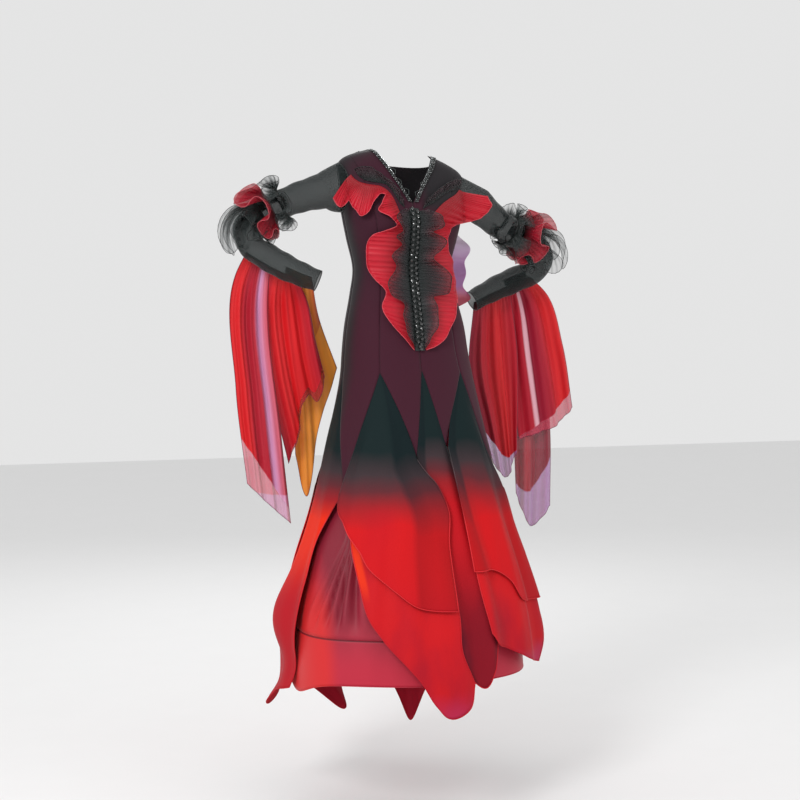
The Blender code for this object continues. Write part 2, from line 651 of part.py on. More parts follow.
class Sleeve:
    """Middle line and frames of one arm."""

    def __init__(self, side):
        self.side = SIDE[side]
        self.path = smooth_path([row[:3] for row in ARMS[side]])
        self.radii = Smooth(np.linspace(0, 1, len(ARMS[side])), [row[3] for row in ARMS[side]])
        self.frames = []
        top = np.array((0.0, 0.0, 1.0))
        for k in range(121):
            centre = self.path.at(k / 120)
            ahead = self.path.at(min(k / 120 + 0.01, 1.0))
            behind = self.path.at(max(k / 120 - 0.01, 0.0))
            tangent = (ahead - behind) / np.linalg.norm(ahead - behind)
            top = top - tangent * top.dot(tangent)
            top /= np.linalg.norm(top)
            front = np.cross(tangent, top) * self.side
            self.frames.append((centre, tangent, top, front))

    def point(self, share, turn, off=0.0, shift=0.0):
        """Point round the sleeve, turn in degrees from the top over the front."""
        centre, tangent, top, front = self.frames[int(round(share * 120))]
        radius = float(self.radii.at(share)[0]) + off
        c, s = math.cos(math.radians(turn)), math.sin(math.radians(turn))
        return centre + radius * (top * c + front * s) + tangent * shift

    def behind(self, share, off, below):
        """Point at the back of the sleeve, some degrees below its middle."""
        centre, tangent = self.frames[int(round(share * 120))][:2]
        back = np.array((0.0, 1.0, 0.0)) - tangent * tangent[1]
        back /= np.linalg.norm(back)
        down = np.cross(tangent, back)
        down *= -math.copysign(1.0, down[2])
        radius = float(self.radii.at(share)[0]) + off
        c, s = math.cos(math.radians(below)), math.sin(math.radians(below))
        return centre + radius * (back * c + down * s)

    def armhole(self, turn):
        """Point of the armhole edge, moved off the panels along the arm."""
        share = turn / 180.0 if turn <= 180.0 else (360.0 - turn) / 180.0
        away = column(ARMHOLE, 1, share)
        z = column(ARMHOLE, 2, share)
        angle = 90.0 - away if turn <= 180.0 else 90.0 + away
        start = np.array(surface(self.side * angle, z))
        return start + np.array((self.side * 0.0016, 0.0, -0.0014))


def sleeve(side):
    """Sleeve from the armhole to the cuff."""
    arm = ARM_LINES[side]
    rows = len(SLEEVE_SHARES) + 1
    shoulder = sum(arm.armhole(turn) for turn in range(0, 360, 30)) / 12

    def place(u, v):
        turn = 360.0 * u
        row = int(round(v * rows))
        edge = arm.armhole(turn)
        if row == 0:
            return edge
        if row == 1:
            circle = arm.point(0.0, turn)
            slid = edge + (arm.path.at(0.0) - shoulder) * 0.5
            return (slid + circle + (shoulder - arm.path.at(0.0)) * 0.25) / 2
        return arm.point(SLEEVE_SHARES[row - 2], turn)

    return cloth("sleeve_" + side, 12, rows, place, "black_green", closed=True)


def elbow_frill(side, label, share, height, waves, depth):
    """Frill standing out round the sleeve above the elbow."""
    arm = ARM_LINES[side]

    def place(u, v):
        turn = 360.0 * u
        size = height * (0.74 + 0.26 * math.cos(math.radians(turn)))
        wave = depth * math.sin(2 * math.pi * waves * u) * v
        return arm.point(share, turn, 0.0016 + size * v, wave)

    colour = "organza" if label == "red" else "black"
    name = "elbow_frill_" + label + "_" + side
    return cloth(name, waves * 3, 1, place, colour, closed=True, wall=0.0010)


def hanging_float(name, colour):
    """Float that hangs from the back of a sleeve."""
    side, start, end, away, below, left, right, hem, pleat, pleats = FLOATS[name]
    arm = ARM_LINES[side]
    top = [arm.behind(start + (end - start) * k / 6, away, below) for k in range(7)]
    left_path = [top[0]] + [np.array(p) for p in left]
    right_path = [top[-1]] + [np.array(p) for p in right]

    def place(u, v):
        a = along(left_path, v)
        b = along(right_path, v)
        sides = a + (b - a) * u
        upper = along(top, u) - (top[0] + (top[-1] - top[0]) * u)
        lower = along(hem, u) - (left_path[-1] + (right_path[-1] - left_path[-1]) * u)
        wave = pleat * math.sin(2 * math.pi * pleats * u) * ramp(v, 0.0, 0.25)
        point = sides + upper * (1 - v) + lower * v ** 2
        return point + np.array((0.0, wave, 0.0))

    return cloth(name, 10, 6, place, colour, wall=0.0010)


def back_flounce():
    """Flounce sewn down the left of the back."""
    seam = [(-0.185, 120), (-0.300, 121), (-0.400, 122)]
    edge = Smooth([0, 0.2, 0.45, 0.7, 0.88, 1.0],
                  [(0.015,), (0.072,), (0.082,), (0.070,), (0.078,), (0.020,)])

    def place(u, v):
        z = -0.185 - 0.215 * u
        angle = column([(-row[0], row[1]) for row in seam], 1, -z)
        wave = 5.0 * math.sin(2 * math.pi * 4 * u) * v
        return surface(angle - 12.0 * v + wave, z, 0.0022 + float(edge.at(u)[0]) * v)

    return cloth("back_flounce_left", 24, 2, place, "mauve", wall=0.0010)


def placket():
    """Band under the two bead rows down the centre front."""
    def place(u, v):
        z = -0.147 - 0.358 * v
        out = PLACKET_WIDTH * (u - 0.5)
        return surface(angle_at(out, z), z, 0.0023)

    return cloth("bead_placket", 2, 24, place, "black")


def panels():
    """The eight panels of the bodice and hips."""
    layout = [
        ("centre_front_left", (centre_seam, princess_seam), False, False,
         ("front_centre", "front_left")),
        ("side_front_left", (princess_seam, side_seam), False, False,
         ("front_left", "side_left")),
        ("side_back_left", (side_seam, princess_seam), True, False,
         ("side_left", "back_left")),
        ("centre_back_left", (princess_seam, centre_seam), True, False,
         ("back_left", "back_centre")),
        ("centre_back_right", (centre_seam, princess_seam), True, True,
         ("back_centre", "back_right")),
        ("side_back_right", (princess_seam, side_seam), True, True,
         ("back_right", "side_right")),
        ("side_front_right", (side_seam, princess_seam), False, True,
         ("side_right", "front_right")),
        ("centre_front_right", (princess_seam, centre_seam), False, True,
         ("front_right", "front_centre")),
    ]
    for name, seams, back, mirrored, godets in layout:
        panel("panel_" + name, seams, back, mirrored, godets)


def neck_trims():
    """Bands along the two sides of the V and round the back neck."""
    def front_edge(sign):
        def read(share):
            princess = princess_seam(min(share, 0.999), False)
            angle, z, step = outward_of(neck_front, share, princess)
            return sign * angle, z, step * np.array((sign, 1.0))
        return read

    def back_edge(share):
        sign = 1.0 if share < 1.0 else -1.0
        half_share = share if share < 1.0 else 2.0 - share
        princess = princess_seam(min(half_share, 0.999), True)
        angle, z, step = outward_of(neck_back, half_share, princess)
        if half_share > 0.8:
            step = np.array((0.0, -1.0))
        angle = angle if sign > 0 else 360.0 - angle
        return angle, z, step * np.array((sign, 1.0))

    trim("neck_trim_left", front_edge(1.0), 0.05, 0.985, 16)
    trim("neck_trim_right", front_edge(-1.0), 0.05, 0.985, 16)
    trim("neck_trim_back", back_edge, 0.12, 1.88, 24, 0.0018)


def build():
    """Make every piece of the dress."""
    panels()
    neck_trims()
    placket()
    for name in GODETS:
        godet(name)
    for name in PETALS:
        petal(name)
    underskirt("underskirt", -0.545, HEM_BAND_TOP + 0.0005, 5)
    underskirt("underskirt_hem_band", HEM_BAND_TOP - 0.0005, HEM, 2)
    for side in SIDE:
        sleeve(side)
        for label, share, height, waves, depth in ELBOW_FRILLS:
            elbow_frill(side, label, share, height, waves, depth)
    frill("red_frill_right", RED_FRILL_RIGHT, -1, 46, 3, 0.0027, 1.4, 15, 0.0035, "organza")
    frill("red_frill_left", RED_FRILL_LEFT, 1, 44, 3, 0.0027, 1.4, 14, 0.0035, "organza")
    frill("black_frill_right", BLACK_FRILL_RIGHT, -1, 36, 2, 0.0039, 1.0, 10, 0.003, "black")
    frill("black_frill_left", BLACK_FRILL_LEFT, 1, 36, 2, 0.0039, 1.0, 10, 0.003, "black")
    frill("black_shoulder_frill_right", BLACK_SHOULDER_RIGHT, -1, 24, 2, 0.0021, 1.2, 7,
          0.002, "black")
    frill("black_shoulder_frill_left", BLACK_SHOULDER_LEFT, 1, 24, 2, 0.0021, 1.2, 7,
          0.002, "black")
    back_flounce()
    hanging_float("float_right_outer", "crimson")
    hanging_float("float_right_inner", "red")
    hanging_float("float_right_under", "orange")
    hanging_float("float_left_outer", "red")
    hanging_float("float_left_middle", "mauve")
    hanging_float("float_left_inner", "crimson")


for leftover in list(bpy.data.objects):
    bpy.data.objects.remove(leftover, do_unlink=True)
COLLECTION = bpy.data.collections.new("ballroom_dance_dress")
bpy.context.scene.collection.children.link(COLLECTION)
MATERIALS = {}
for label, (colour, roughness) in COLOURS.items():
    material = bpy.data.materials.new(label)
    material.use_nodes = True
    shader = material.node_tree.nodes["Principled BSDF"]
    shader.inputs["Base Color"].default_value = (*colour, 1.0)
    shader.inputs["Roughness"].default_value = roughness
    shader.inputs["Metallic"].default_value = 0.0
    MATERIALS[label] = material
ARM_LINES = {side: Sleeve(side) for side in SIDE}
build()
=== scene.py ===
"""Finished look of a ballroom dance dress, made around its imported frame.

The dress stands as it is worn, in metres with +Z up. The origin lies between the two neck
points, the front faces -Y and +X is the wearer's left. Angles go round the body from the
centre front (0) over the wearer's left side (90). Each cut piece of the frame is replaced by a
fine piece of cloth on the same form.
"""
from __future__ import annotations

import logging
import math
from dataclasses import dataclass, field
from enum import Enum
from typing import Callable, Sequence

import bmesh
import bpy
import numpy as np
from mathutils import Matrix, Vector

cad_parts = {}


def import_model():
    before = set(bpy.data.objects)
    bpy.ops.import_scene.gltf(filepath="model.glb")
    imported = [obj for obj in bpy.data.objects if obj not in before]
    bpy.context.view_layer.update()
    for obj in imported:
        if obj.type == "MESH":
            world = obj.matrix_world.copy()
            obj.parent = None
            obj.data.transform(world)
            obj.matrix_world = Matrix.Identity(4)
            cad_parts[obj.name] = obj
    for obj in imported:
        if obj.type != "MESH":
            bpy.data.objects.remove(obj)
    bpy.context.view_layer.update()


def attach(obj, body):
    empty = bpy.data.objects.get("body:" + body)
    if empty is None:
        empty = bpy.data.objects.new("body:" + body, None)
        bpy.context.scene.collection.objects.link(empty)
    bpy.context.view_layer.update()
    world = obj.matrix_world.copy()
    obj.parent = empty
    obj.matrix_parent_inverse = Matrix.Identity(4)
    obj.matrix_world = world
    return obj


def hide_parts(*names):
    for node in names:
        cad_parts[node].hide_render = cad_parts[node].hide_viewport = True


LOG = logging.getLogger("dress")
SIDE = {"right": -1, "left": 1}

Place = Callable[[float, float], Sequence[float]]
Pair = tuple[float, float]
Triple = tuple[float, float, float]


class Held(Enum):
    """How a sheet of cloth is held."""

    HUNG = "hung"
    GATHERED = "gathered"
    STRETCHED = "stretched"


class Shading(Enum):
    """How the faces of a hard piece are shaded."""

    SMOOTH = "smooth"
    FACETED = "faceted"


@dataclass(frozen=True)
class Cut:
    """Flat size of a piece of cloth before it was sewn, and how it is held now."""

    width: float
    length: float
    held: Held
    area: float | None = None


def ramp(value: float, start: float, end: float) -> float:
    """Smooth step.

    Args:
        value: What is tested.
        start: Where the step begins.
        end: Where the step ends, above or below start.

    Returns:
        0 at start, 1 at end and a smooth curve between them.
    """
    t = min(max((value - start) / (end - start), 0.0), 1.0)
    return t * t * (3 - 2 * t)


def bell(value: float, middle: float, width: float) -> float:
    """Height of a bell curve of height 1 at a value."""
    return math.exp(-(((value - middle) / width) ** 2))


def half_turn(angle: float) -> float:
    """The same angle between -180 and 180 degrees."""
    return (angle + 180.0) % 360.0 - 180.0


class Line:
    """Smooth line through rows of numbers, read at any key from the first to the last."""

    def __init__(self, keys: Sequence[float], rows: Sequence) -> None:
        """Fit the line.

        Args:
            keys: Rising keys, one for each row.
            rows: The rows that the line goes through.
        """
        self.keys = np.array(keys, float)
        self.rows = np.array(rows, float).reshape(len(keys), -1)
        self.slopes = np.gradient(self.rows, self.keys, axis=0)

    @classmethod
    def keyed(cls, rows: Sequence) -> Line:
        """Line through rows that start with their key."""
        return cls([row[0] for row in rows], [row[1:] for row in rows])

    @classmethod
    def through(cls, points: Sequence, weights: Sequence[float] = (1.0, 1.0, 1.0)) -> Line:
        """Line through points, keyed by the share of its length.

        Args:
            points: The points.
            weights: Metres that a step of one counts for in each column.

        Returns:
            The line, read from 0 to 1.
        """
        rows = np.array(points, float)
        steps = np.linalg.norm(np.diff(rows, axis=0) * np.array(weights)[: rows.shape[1]], axis=1)
        keys = np.concatenate([[0.0], np.cumsum(steps)]) / steps.sum()
        return cls(keys, rows)

    def at(self, key: float) -> np.ndarray:
        """Read the line.

        Args:
            key: Where to read it; past an end it reads that end.

        Returns:
            One row of numbers.
        """
        key = min(max(key, self.keys[0]), self.keys[-1])
        i = min(int(np.searchsorted(self.keys, key, side="right")) - 1, len(self.keys) - 2)
        gap = self.keys[i + 1] - self.keys[i]
        t = (key - self.keys[i]) / gap
        start = self.rows[i] * (2 * t**3 - 3 * t**2 + 1)
        end = self.rows[i + 1] * (3 * t**2 - 2 * t**3)
        leave = self.slopes[i] * gap * (t**3 - 2 * t**2 + t)
        arrive = self.slopes[i + 1] * gap * (t**3 - t**2)
        return start + leave + end + arrive


SKIRT_PATH = (0.005, 1.0)  # an angle of one degree on the skirt is about 5 mm


@dataclass(frozen=True)
class DressForm:
    """The hollow form of the worn dress: its sections, its folds and its pose."""

    squareness: float = 0.87
    tilt: float = 0.085
    layer: float = 0.007
    rings: tuple = (  # height, centre, half width, depth to the front, depth to the back
        (0.010, -0.024, 0.070, 0.040, 0.044),
        (0.000, -0.024, 0.078, 0.045, 0.050),
        (-0.010, -0.024, 0.105, 0.052, 0.057),
        (-0.020, -0.024, 0.130, 0.057, 0.063),
        (-0.030, -0.023, 0.150, 0.062, 0.068),
        (-0.042, -0.022, 0.163, 0.067, 0.075),
        (-0.060, -0.022, 0.167, 0.075, 0.085),
        (-0.100, -0.021, 0.165, 0.090, 0.098),
        (-0.140, -0.020, 0.160, 0.103, 0.103),
        (-0.180, -0.019, 0.153, 0.115, 0.102),
        (-0.220, -0.019, 0.144, 0.110, 0.098),
        (-0.300, -0.018, 0.128, 0.092, 0.086),
        (-0.360, -0.015, 0.138, 0.101, 0.100),
        (-0.450, -0.010, 0.157, 0.114, 0.126),
        (-0.507, -0.008, 0.164, 0.120, 0.136),
        (-0.567, -0.004, 0.172, 0.127, 0.142),
        (-0.640, -0.002, 0.186, 0.142, 0.156),
        (-0.740, -0.002, 0.208, 0.167, 0.180),
        (-0.845, -0.002, 0.229, 0.192, 0.203),
        (-0.950, -0.002, 0.254, 0.220, 0.230),
        (-1.050, -0.002, 0.284, 0.250, 0.260),
        (-1.160, -0.002, 0.312, 0.280, 0.290),
        (-1.260, -0.002, 0.325, 0.300, 0.310),
        (-1.360, -0.002, 0.330, 0.310, 0.320),
        (-1.560, -0.002, 0.330, 0.312, 0.322),
    )
    folds: tuple = (  # angle at the hip, at the hem, width, depth at -0.9, -1.2 and -1.4
        (-28, 5, 8.0, 0.010, 0.016, 0.010),
        (-12, 11, 7.0, -0.009, -0.016, -0.010),
        (4, 19, 7.5, 0.010, 0.017, 0.012),
        (20, 29, 7.0, -0.006, -0.009, -0.006),
        (36, 42, 9.0, 0.008, 0.012, 0.010),
        (48, 56, 7.5, -0.006, -0.010, -0.006),
        (58, 70, 8.5, 0.008, 0.018, 0.020),
        (86, 88, 8.0, -0.006, -0.013, -0.012),
        (104, 106, 9.0, 0.009, 0.022, 0.024),
        (124, 125, 8.0, -0.006, -0.014, -0.014),
        (145, 145, 9.0, 0.009, 0.020, 0.022),
        (164, 165, 8.0, -0.006, -0.014, -0.014),
        (185, 185, 9.5, 0.009, 0.020, 0.022),
        (206, 206, 8.0, -0.006, -0.014, -0.014),
        (226, 226, 9.0, 0.009, 0.020, 0.022),
        (246, 245, 8.0, -0.006, -0.013, -0.012),
        (262, 266, 9.0, 0.006, 0.012, 0.012),
        (282, 284, 8.0, 0.006, 0.010, 0.006),
        (298, 297, 8.0, -0.006, -0.009, -0.006),
        (314, 312, 10.0, 0.007, 0.011, 0.008),
        (330, 332, 9.0, -0.003, -0.005, -0.004),
    )
    fold_heights: tuple = (0.60, 0.90, 1.20, 1.40)
    fold_top: float = -0.60
    fold_end: float = -1.20
    fold_reach: float = 3.2  # widths of a fold to where it has died out
    fold_power: float = 1.7
    ripple_depth: float = 0.0016

    def __post_init__(self) -> None:
        """Fit the smooth line through the rings."""
        line = Line([-row[0] for row in self.rings], [row[1:] for row in self.rings])
        object.__setattr__(self, "profile", line)

    def posed(self, x: float, y: float, z: float) -> Triple:
        """Carry a point of the level dress to where the lifted shoulder holds it."""
        return x, y, z - self.tilt * x * ramp(z, -0.30, -0.05)

    def fold_depth(self, angle: float, z: float) -> float:
        """How far the folds of the skirt push the cloth out.

        Args:
            angle: Angle round the body in degrees.
            z: Height.

        Returns:
            The depth in metres, below zero in a trough.
        """
        if z > self.fold_top:
            return 0.0
        turn = ramp(z, self.fold_top, self.fold_end)
        depth = 0.0
        for hip, hem, width, high, middle, low in self.folds:
            away = half_turn(angle - hip - (hem - hip) * turn)
            if abs(away) < self.fold_reach * width:
                size = np.interp(-z, self.fold_heights, (0.0, high, middle, low))
                depth += size * math.exp(-((abs(away) / width) ** self.fold_power))
        a = math.radians(angle)
        ripple = math.sin(23 * a + 5 * z) + 0.6 * math.sin(37 * a - 7 * z)
        return depth + self.ripple_depth * ripple * ramp(z, -0.75, -1.15)

    def surface(self, angle: float, z: float, off: float = 0.0, folded: bool = True) -> Triple:
        """Point of the dress at an angle and a height.

        Args:
            angle: Angle round the body in degrees.
            z: Height.
            off: How far the point is moved out.
            folded: Whether the folds of the skirt count.

        Returns:
            The point.
        """
        centre, half, front, back = self.profile.at(-z)
        s = math.sin(math.radians(angle))
        c = math.cos(math.radians(angle))
        if folded:
            off += self.fold_depth(angle, z)
        x = centre + (half + off) * math.copysign(abs(s) ** self.squareness, s)
        depth = (front if c > 0 else back) + off
        return self.posed(x, -depth * math.copysign(abs(c) ** self.squareness, c), z)

    def angle_at(self, out: float, z: float) -> float:
        """Angle of the front point that lies a distance out from the centre line."""
        share = min(abs(out) / self.profile.at(-z)[1], 1.0) ** (1.0 / self.squareness)
        return math.copysign(math.degrees(math.asin(share)), out)

    def layer_offset(self, layer: float, z: float) -> float:
        """Distance of a skirt layer from the skirt's own surface."""
        return layer * self.layer * ramp(z, -0.58, -0.86)


FORM = DressForm()


class Shade:
    """A shader socket that takes part in expressions."""

    def __init__(self, recipe: Recipe, socket: bpy.types.NodeSocket) -> None:
        """Wrap a socket of a recipe."""
        self.recipe = recipe
        self.socket = socket

    def math(self, operation: str, *others: float | Shade, clamp: bool = False) -> Shade:
        """Math node on this value and others.

        Args:
            operation: Name of the Math operation.
            others: The other operands.
            clamp: Whether the result is held between 0 and 1.

        Returns:
            The result.
        """
        settings = {"operation": operation, "use_clamp": clamp}
        inputs = {0: self} | {k + 1: other for k, other in enumerate(others)}
        return self.recipe.node("ShaderNodeMath", settings, inputs)

    def __add__(self, other: float | Shade) -> Shade:
        """Sum."""
        return self.math("ADD", other)

    __radd__ = __add__

    def __mul__(self, other: float | Shade) -> Shade:
        """Product."""
        return self.math("MULTIPLY", other)

    __rmul__ = __mul__

    def __sub__(self, other: float | Shade) -> Shade:
        """Difference."""
        return self.math("SUBTRACT", other)

    def __rsub__(self, other: float) -> Shade:
        """Difference from a number."""
        return self * -1.0 + other

    def __truediv__(self, other: float | Shade) -> Shade:
        """Quotient."""
        return self.math("DIVIDE", other)

    def __pow__(self, other: float) -> Shade:
        """Power."""
        return self.math("POWER", other)

    def absolute(self) -> Shade:
        """Value without its sign."""
        return self.math("ABSOLUTE")

    def sine(self) -> Shade:
        """Sine of the value in radians."""
        return self.math("SINE")

    def step(self, start: float, end: float) -> Shade:
        """Smooth step from 0 at start to 1 at end, start below or above end."""
        low, high = min(start, end), max(start, end)
        near, far = (0.0, 1.0) if start < end else (1.0, 0.0)
        settings = {"interpolation_type": "SMOOTHSTEP"}
        return self.recipe.node(
            "ShaderNodeMapRange", settings, {0: self, 1: low, 2: high, 3: near, 4: far})


class Recipe:
    """Node tree of one material, written step by step."""

    def __init__(self, name: str) -> None:
        """Start an empty material."""
        self.material = bpy.data.materials.new(name)
        self.material.use_nodes = True
        self.tree = self.material.node_tree
        self.tree.nodes.clear()
        self.coordinates = self.tree.nodes.new("ShaderNodeTexCoord")

    def node(self, kind: str, settings: dict | None = None, inputs: dict | None = None,
             output: int | str = 0) -> Shade:
        """Add any node.

        Args:
            kind: The node's type.
            settings: Properties of the node; a ramp's stops stand under "stops".
            inputs: Socket number or name to a value or a Shade.
            output: Which output is wanted.

        Returns:
            The wanted output.
        """
        node = self.tree.nodes.new(kind)
        for key, value in (settings or {}).items():
            if key == "stops":
                self.set_stops(node.color_ramp, value)
            else:
                setattr(node, key, value)
        for key, value in (inputs or {}).items():
            if isinstance(value, Shade):
                self.tree.links.new(value.socket, node.inputs[key])
            else:
                node.inputs[key].default_value = value
        return Shade(self, node.outputs[output])

    @staticmethod
    def set_stops(band: bpy.types.ColorRamp, stops: Sequence[tuple[float, Triple]]) -> None:
        """Give a colour ramp its stops."""
        while len(band.elements) > 1:
            band.elements.remove(band.elements[-1])
        band.elements[0].position = stops[0][0]
        band.elements[0].color = (*stops[0][1], 1.0)
        for place, colour in stops[1:]:
            band.elements.new(place).color = (*colour, 1.0)

    def along(self, axis: str, source: str = "Object") -> Shade:
        """One object or UV coordinate: X, Y or Z."""
        place = Shade(self, self.coordinates.outputs[source])
        return self.node("ShaderNodeSeparateXYZ", inputs={0: place}, output=axis)

    def noise(self, scale: float, detail: float = 3.0, stretch: Triple = (1.0, 1.0, 1.0),
              source: str = "Object") -> Shade:
        """Soft noise between 0 and 1.

        Args:
            scale: Waves in a metre, or in a whole piece for UV.
            detail: Octaves.
            stretch: Factor on each coordinate.
            source: Object or UV.

        Returns:
            The noise.
        """
        place = Shade(self, self.coordinates.outputs[source])
        moved = self.node("ShaderNodeMapping", inputs={"Vector": place, "Scale": stretch})
        inputs = {"Vector": moved, "Scale": scale, "Detail": detail}
        return self.node("ShaderNodeTexNoise", inputs=inputs)

    def band(self, value: Shade, stops: Sequence[tuple[float, Triple]]) -> Shade:
        """Colours along a value from 0 to 1."""
        return self.node("ShaderNodeValToRGB", {"stops": stops}, {0: value})

    def mix(self, share: float | Shade, low: Triple | Shade, high: Triple | Shade) -> Shade:
        """Blend of two colours.

        Args:
            share: 0 for the low colour, 1 for the high one.
            low: First colour.
            high: Second colour.

        Returns:
            The blended colour.
        """
        colours = [c if isinstance(c, Shade) else (*c, 1.0) for c in (low, high)]
        inputs = {0: share, 6: colours[0], 7: colours[1]}
        return self.node("ShaderNodeMix", {"data_type": "RGBA"}, inputs, output=2)

    def bump(self, height: Shade, depth: float, strength: float = 1.0) -> Shade:
        """Surface relief of a depth in metres."""
        inputs = {"Height": height, "Distance": depth, "Strength": strength}
        return self.node("ShaderNodeBump", inputs=inputs)

    def finish(self, colour: Triple | Shade, roughness: float | Shade, normal: Shade | None = None,
               alpha: float | Shade = 1.0, **fixed: float) -> bpy.types.Material:
        """Close the material with one Principled shader.

        Args:
            colour: Base colour.
            roughness: Roughness.
            normal: Surface relief.
            alpha: How much the cloth covers.
            fixed: Other sockets, with underscores for spaces.

        Returns:
            The material.
        """
        inputs = {
            "Base Color": colour if isinstance(colour, Shade) else (*colour, 1.0),
            "Roughness": roughness,
            "Alpha": alpha,
        }
        inputs |= {key.replace("_", " "): value for key, value in fixed.items()}
        if normal is not None:
            inputs["Normal"] = normal
        shader = self.node("ShaderNodeBsdfPrincipled", inputs=inputs)
        out = self.tree.nodes.new("ShaderNodeOutputMaterial")
        self.tree.links.new(shader.socket, out.inputs["Surface"])
        return self.material


@dataclass(frozen=True)
class Jersey:
    """Matt stretch cloth of the bodice, plum in front and black-green toward the sides and the back;
    that dark is partly the side panels' own colour and partly painted shade where the body turns away
    at its edges.
    """

    name: str = "bodice_jersey"
    plum: Triple = (0.040, 0.006, 0.016)
    wine: Triple = (0.048, 0.005, 0.016)
    dark: Triple = (0.007, 0.013, 0.013)
    side_start: float = -0.065
    side_end: float = -0.020

    def build(self) -> bpy.types.Material:
        """Make the material."""
        r = Recipe(self.name)
        # Painted shade: the cloth darkens toward the sides and the back, partly the side panels' own
        # black-green and partly shade where the body turns away; the upper left front is darker too.
        y = r.along("Y") + (r.noise(6.0) - 0.5) * 0.03
        reach = y.step(self.side_start, self.side_end)
        low = r.along("Z").step(-0.28, -0.48)
        body = r.mix(low * (0.75 + r.noise(9.0) * 0.5), self.plum, self.wine)
        yoke = r.along("X").step(-0.010, 0.030) * r.along("Z").step(-0.165, -0.125)
        shade = (reach * 0.85).math("MAXIMUM", yoke * 0.9)
        colour = r.mix(shade, body, self.dark)
        colour = r.mix(r.noise(260.0, 2.0) * 0.35, colour, (0.03, 0.008, 0.016))
        knit = r.noise(900.0, 1.0, (1.0, 1.0, 0.4))
        return r.finish(colour, 0.78, r.bump(knit, 0.0004, 0.5), Sheen_Weight=0.08,
                        Sheen_Roughness=0.5, Specular_IOR_Level=0.2)


@dataclass(frozen=True)
class DipDye:
    """Chiffon that was dipped: black-green above, a grey-wine band, then red."""

    name: str
    dark_end: float = -0.750
    red_start: float = -0.890
    dark: Triple = (0.005, 0.014, 0.015)
    grey: Triple = (0.044, 0.028, 0.032)
    wine: Triple = (0.110, 0.020, 0.026)
    half_red: Triple = (0.300, 0.012, 0.017)
    red: Triple = (0.560, 0.006, 0.009)
    deep: Triple = (0.420, 0.005, 0.016)
    deep_height: float = -1.30
    patch: float = 0.35
    shade: tuple = ((0.0, 0.0), (1.0, 0.0))  # share across the godet and how much it is shaded

    def build(self) -> bpy.types.Material:
        """Make the material."""
        r = Recipe(self.name)
        # Painted shade: strips across the godet, set by the shade stops, are darkened on the far side
        # of its folds, and the dye line moves down there.
        stops = [(place, (depth, depth, depth)) for place, depth in self.shade]
        shade = r.band(r.along("X", "UV"), stops)
        z = r.along("Z") + (r.noise(4.0, 3.0) - 0.5) * 0.10 + shade * 0.030
        share = (z - self.dark_end) / (self.red_start - self.dark_end) * 0.5 + 0.25
        colour = r.band(share, (
            (0.0, self.dark), (0.22, self.dark), (0.42, self.grey), (0.56, self.wine),
            (0.70, self.half_red), (0.90, self.red), (1.0, self.red)))
        fade = z.step(self.red_start - 0.08, self.deep_height)
        mottle = r.noise(7.0, 4.0, (1.0, 1.0, 0.35)).step(0.42, 0.66)
        red_part = share.step(0.66, 0.80)
        colour = r.mix((fade * 0.7 + mottle * self.patch * 0.8) * red_part, colour, self.deep)
        # Painted shade on the far side of the folds.
        colour = r.mix(shade * 0.75, colour, r.mix(0.5, colour, (0.0, 0.002, 0.006)))
        crinkle = r.noise(420.0, 2.0, (1.0, 1.0, 0.15))
        return r.finish(colour, 0.70, r.bump(crinkle, 0.0005, 0.6), Sheen_Weight=0.05,
                        Sheen_Roughness=0.35, Specular_IOR_Level=0.12)


@dataclass(frozen=True)
class PetalChiffon:
    """Soft chiffon of the long petals, with a paler tip."""

    name: str
    high: Triple = (0.540, 0.006, 0.010)
    low: Triple = (0.380, 0.005, 0.016)
    tip: Triple = (0.420, 0.020, 0.070)
    top_height: float = -1.05
    tip_height: float = -1.33
    end_height: float = -1.40
    tip_share: float = 0.8
    strip_width: float = 0.0  # share across, from its right edge as worn
    strip: Triple = (0.740, 0.030, 0.006)

    def build(self) -> bpy.types.Material:
        """Make the material."""
        r = Recipe(self.name)
        z = r.along("Z") + (r.noise(9.0, 3.0) - 0.5) * 0.08
        mottle = r.noise(6.0, 4.0, (1.0, 1.0, 0.4))
        body = r.mix(mottle.step(0.40, 0.65), self.high, self.low)
        colour = r.mix(z.step(self.tip_height, self.end_height) * self.tip_share, body, self.tip)
        # Painted shade: the top of the petal, where it hangs under the godets, darkens to the low
        # colour.
        shade = z.step(self.top_height + 0.08, self.top_height)
        colour = r.mix(1.0 - shade, colour, self.low)
        if self.strip_width:
            across = r.along("X", "UV").step(self.strip_width, self.strip_width * 0.6)
            colour = r.mix(across * r.along("Z").step(-1.13, -1.06), colour, self.strip)
        crinkle = r.noise(420.0, 2.0, (1.0, 1.0, 0.15))
        return r.finish(colour, 0.66, r.bump(crinkle, 0.0005, 0.6), Sheen_Weight=0.05,
                        Sheen_Roughness=0.35, Specular_IOR_Level=0.15)


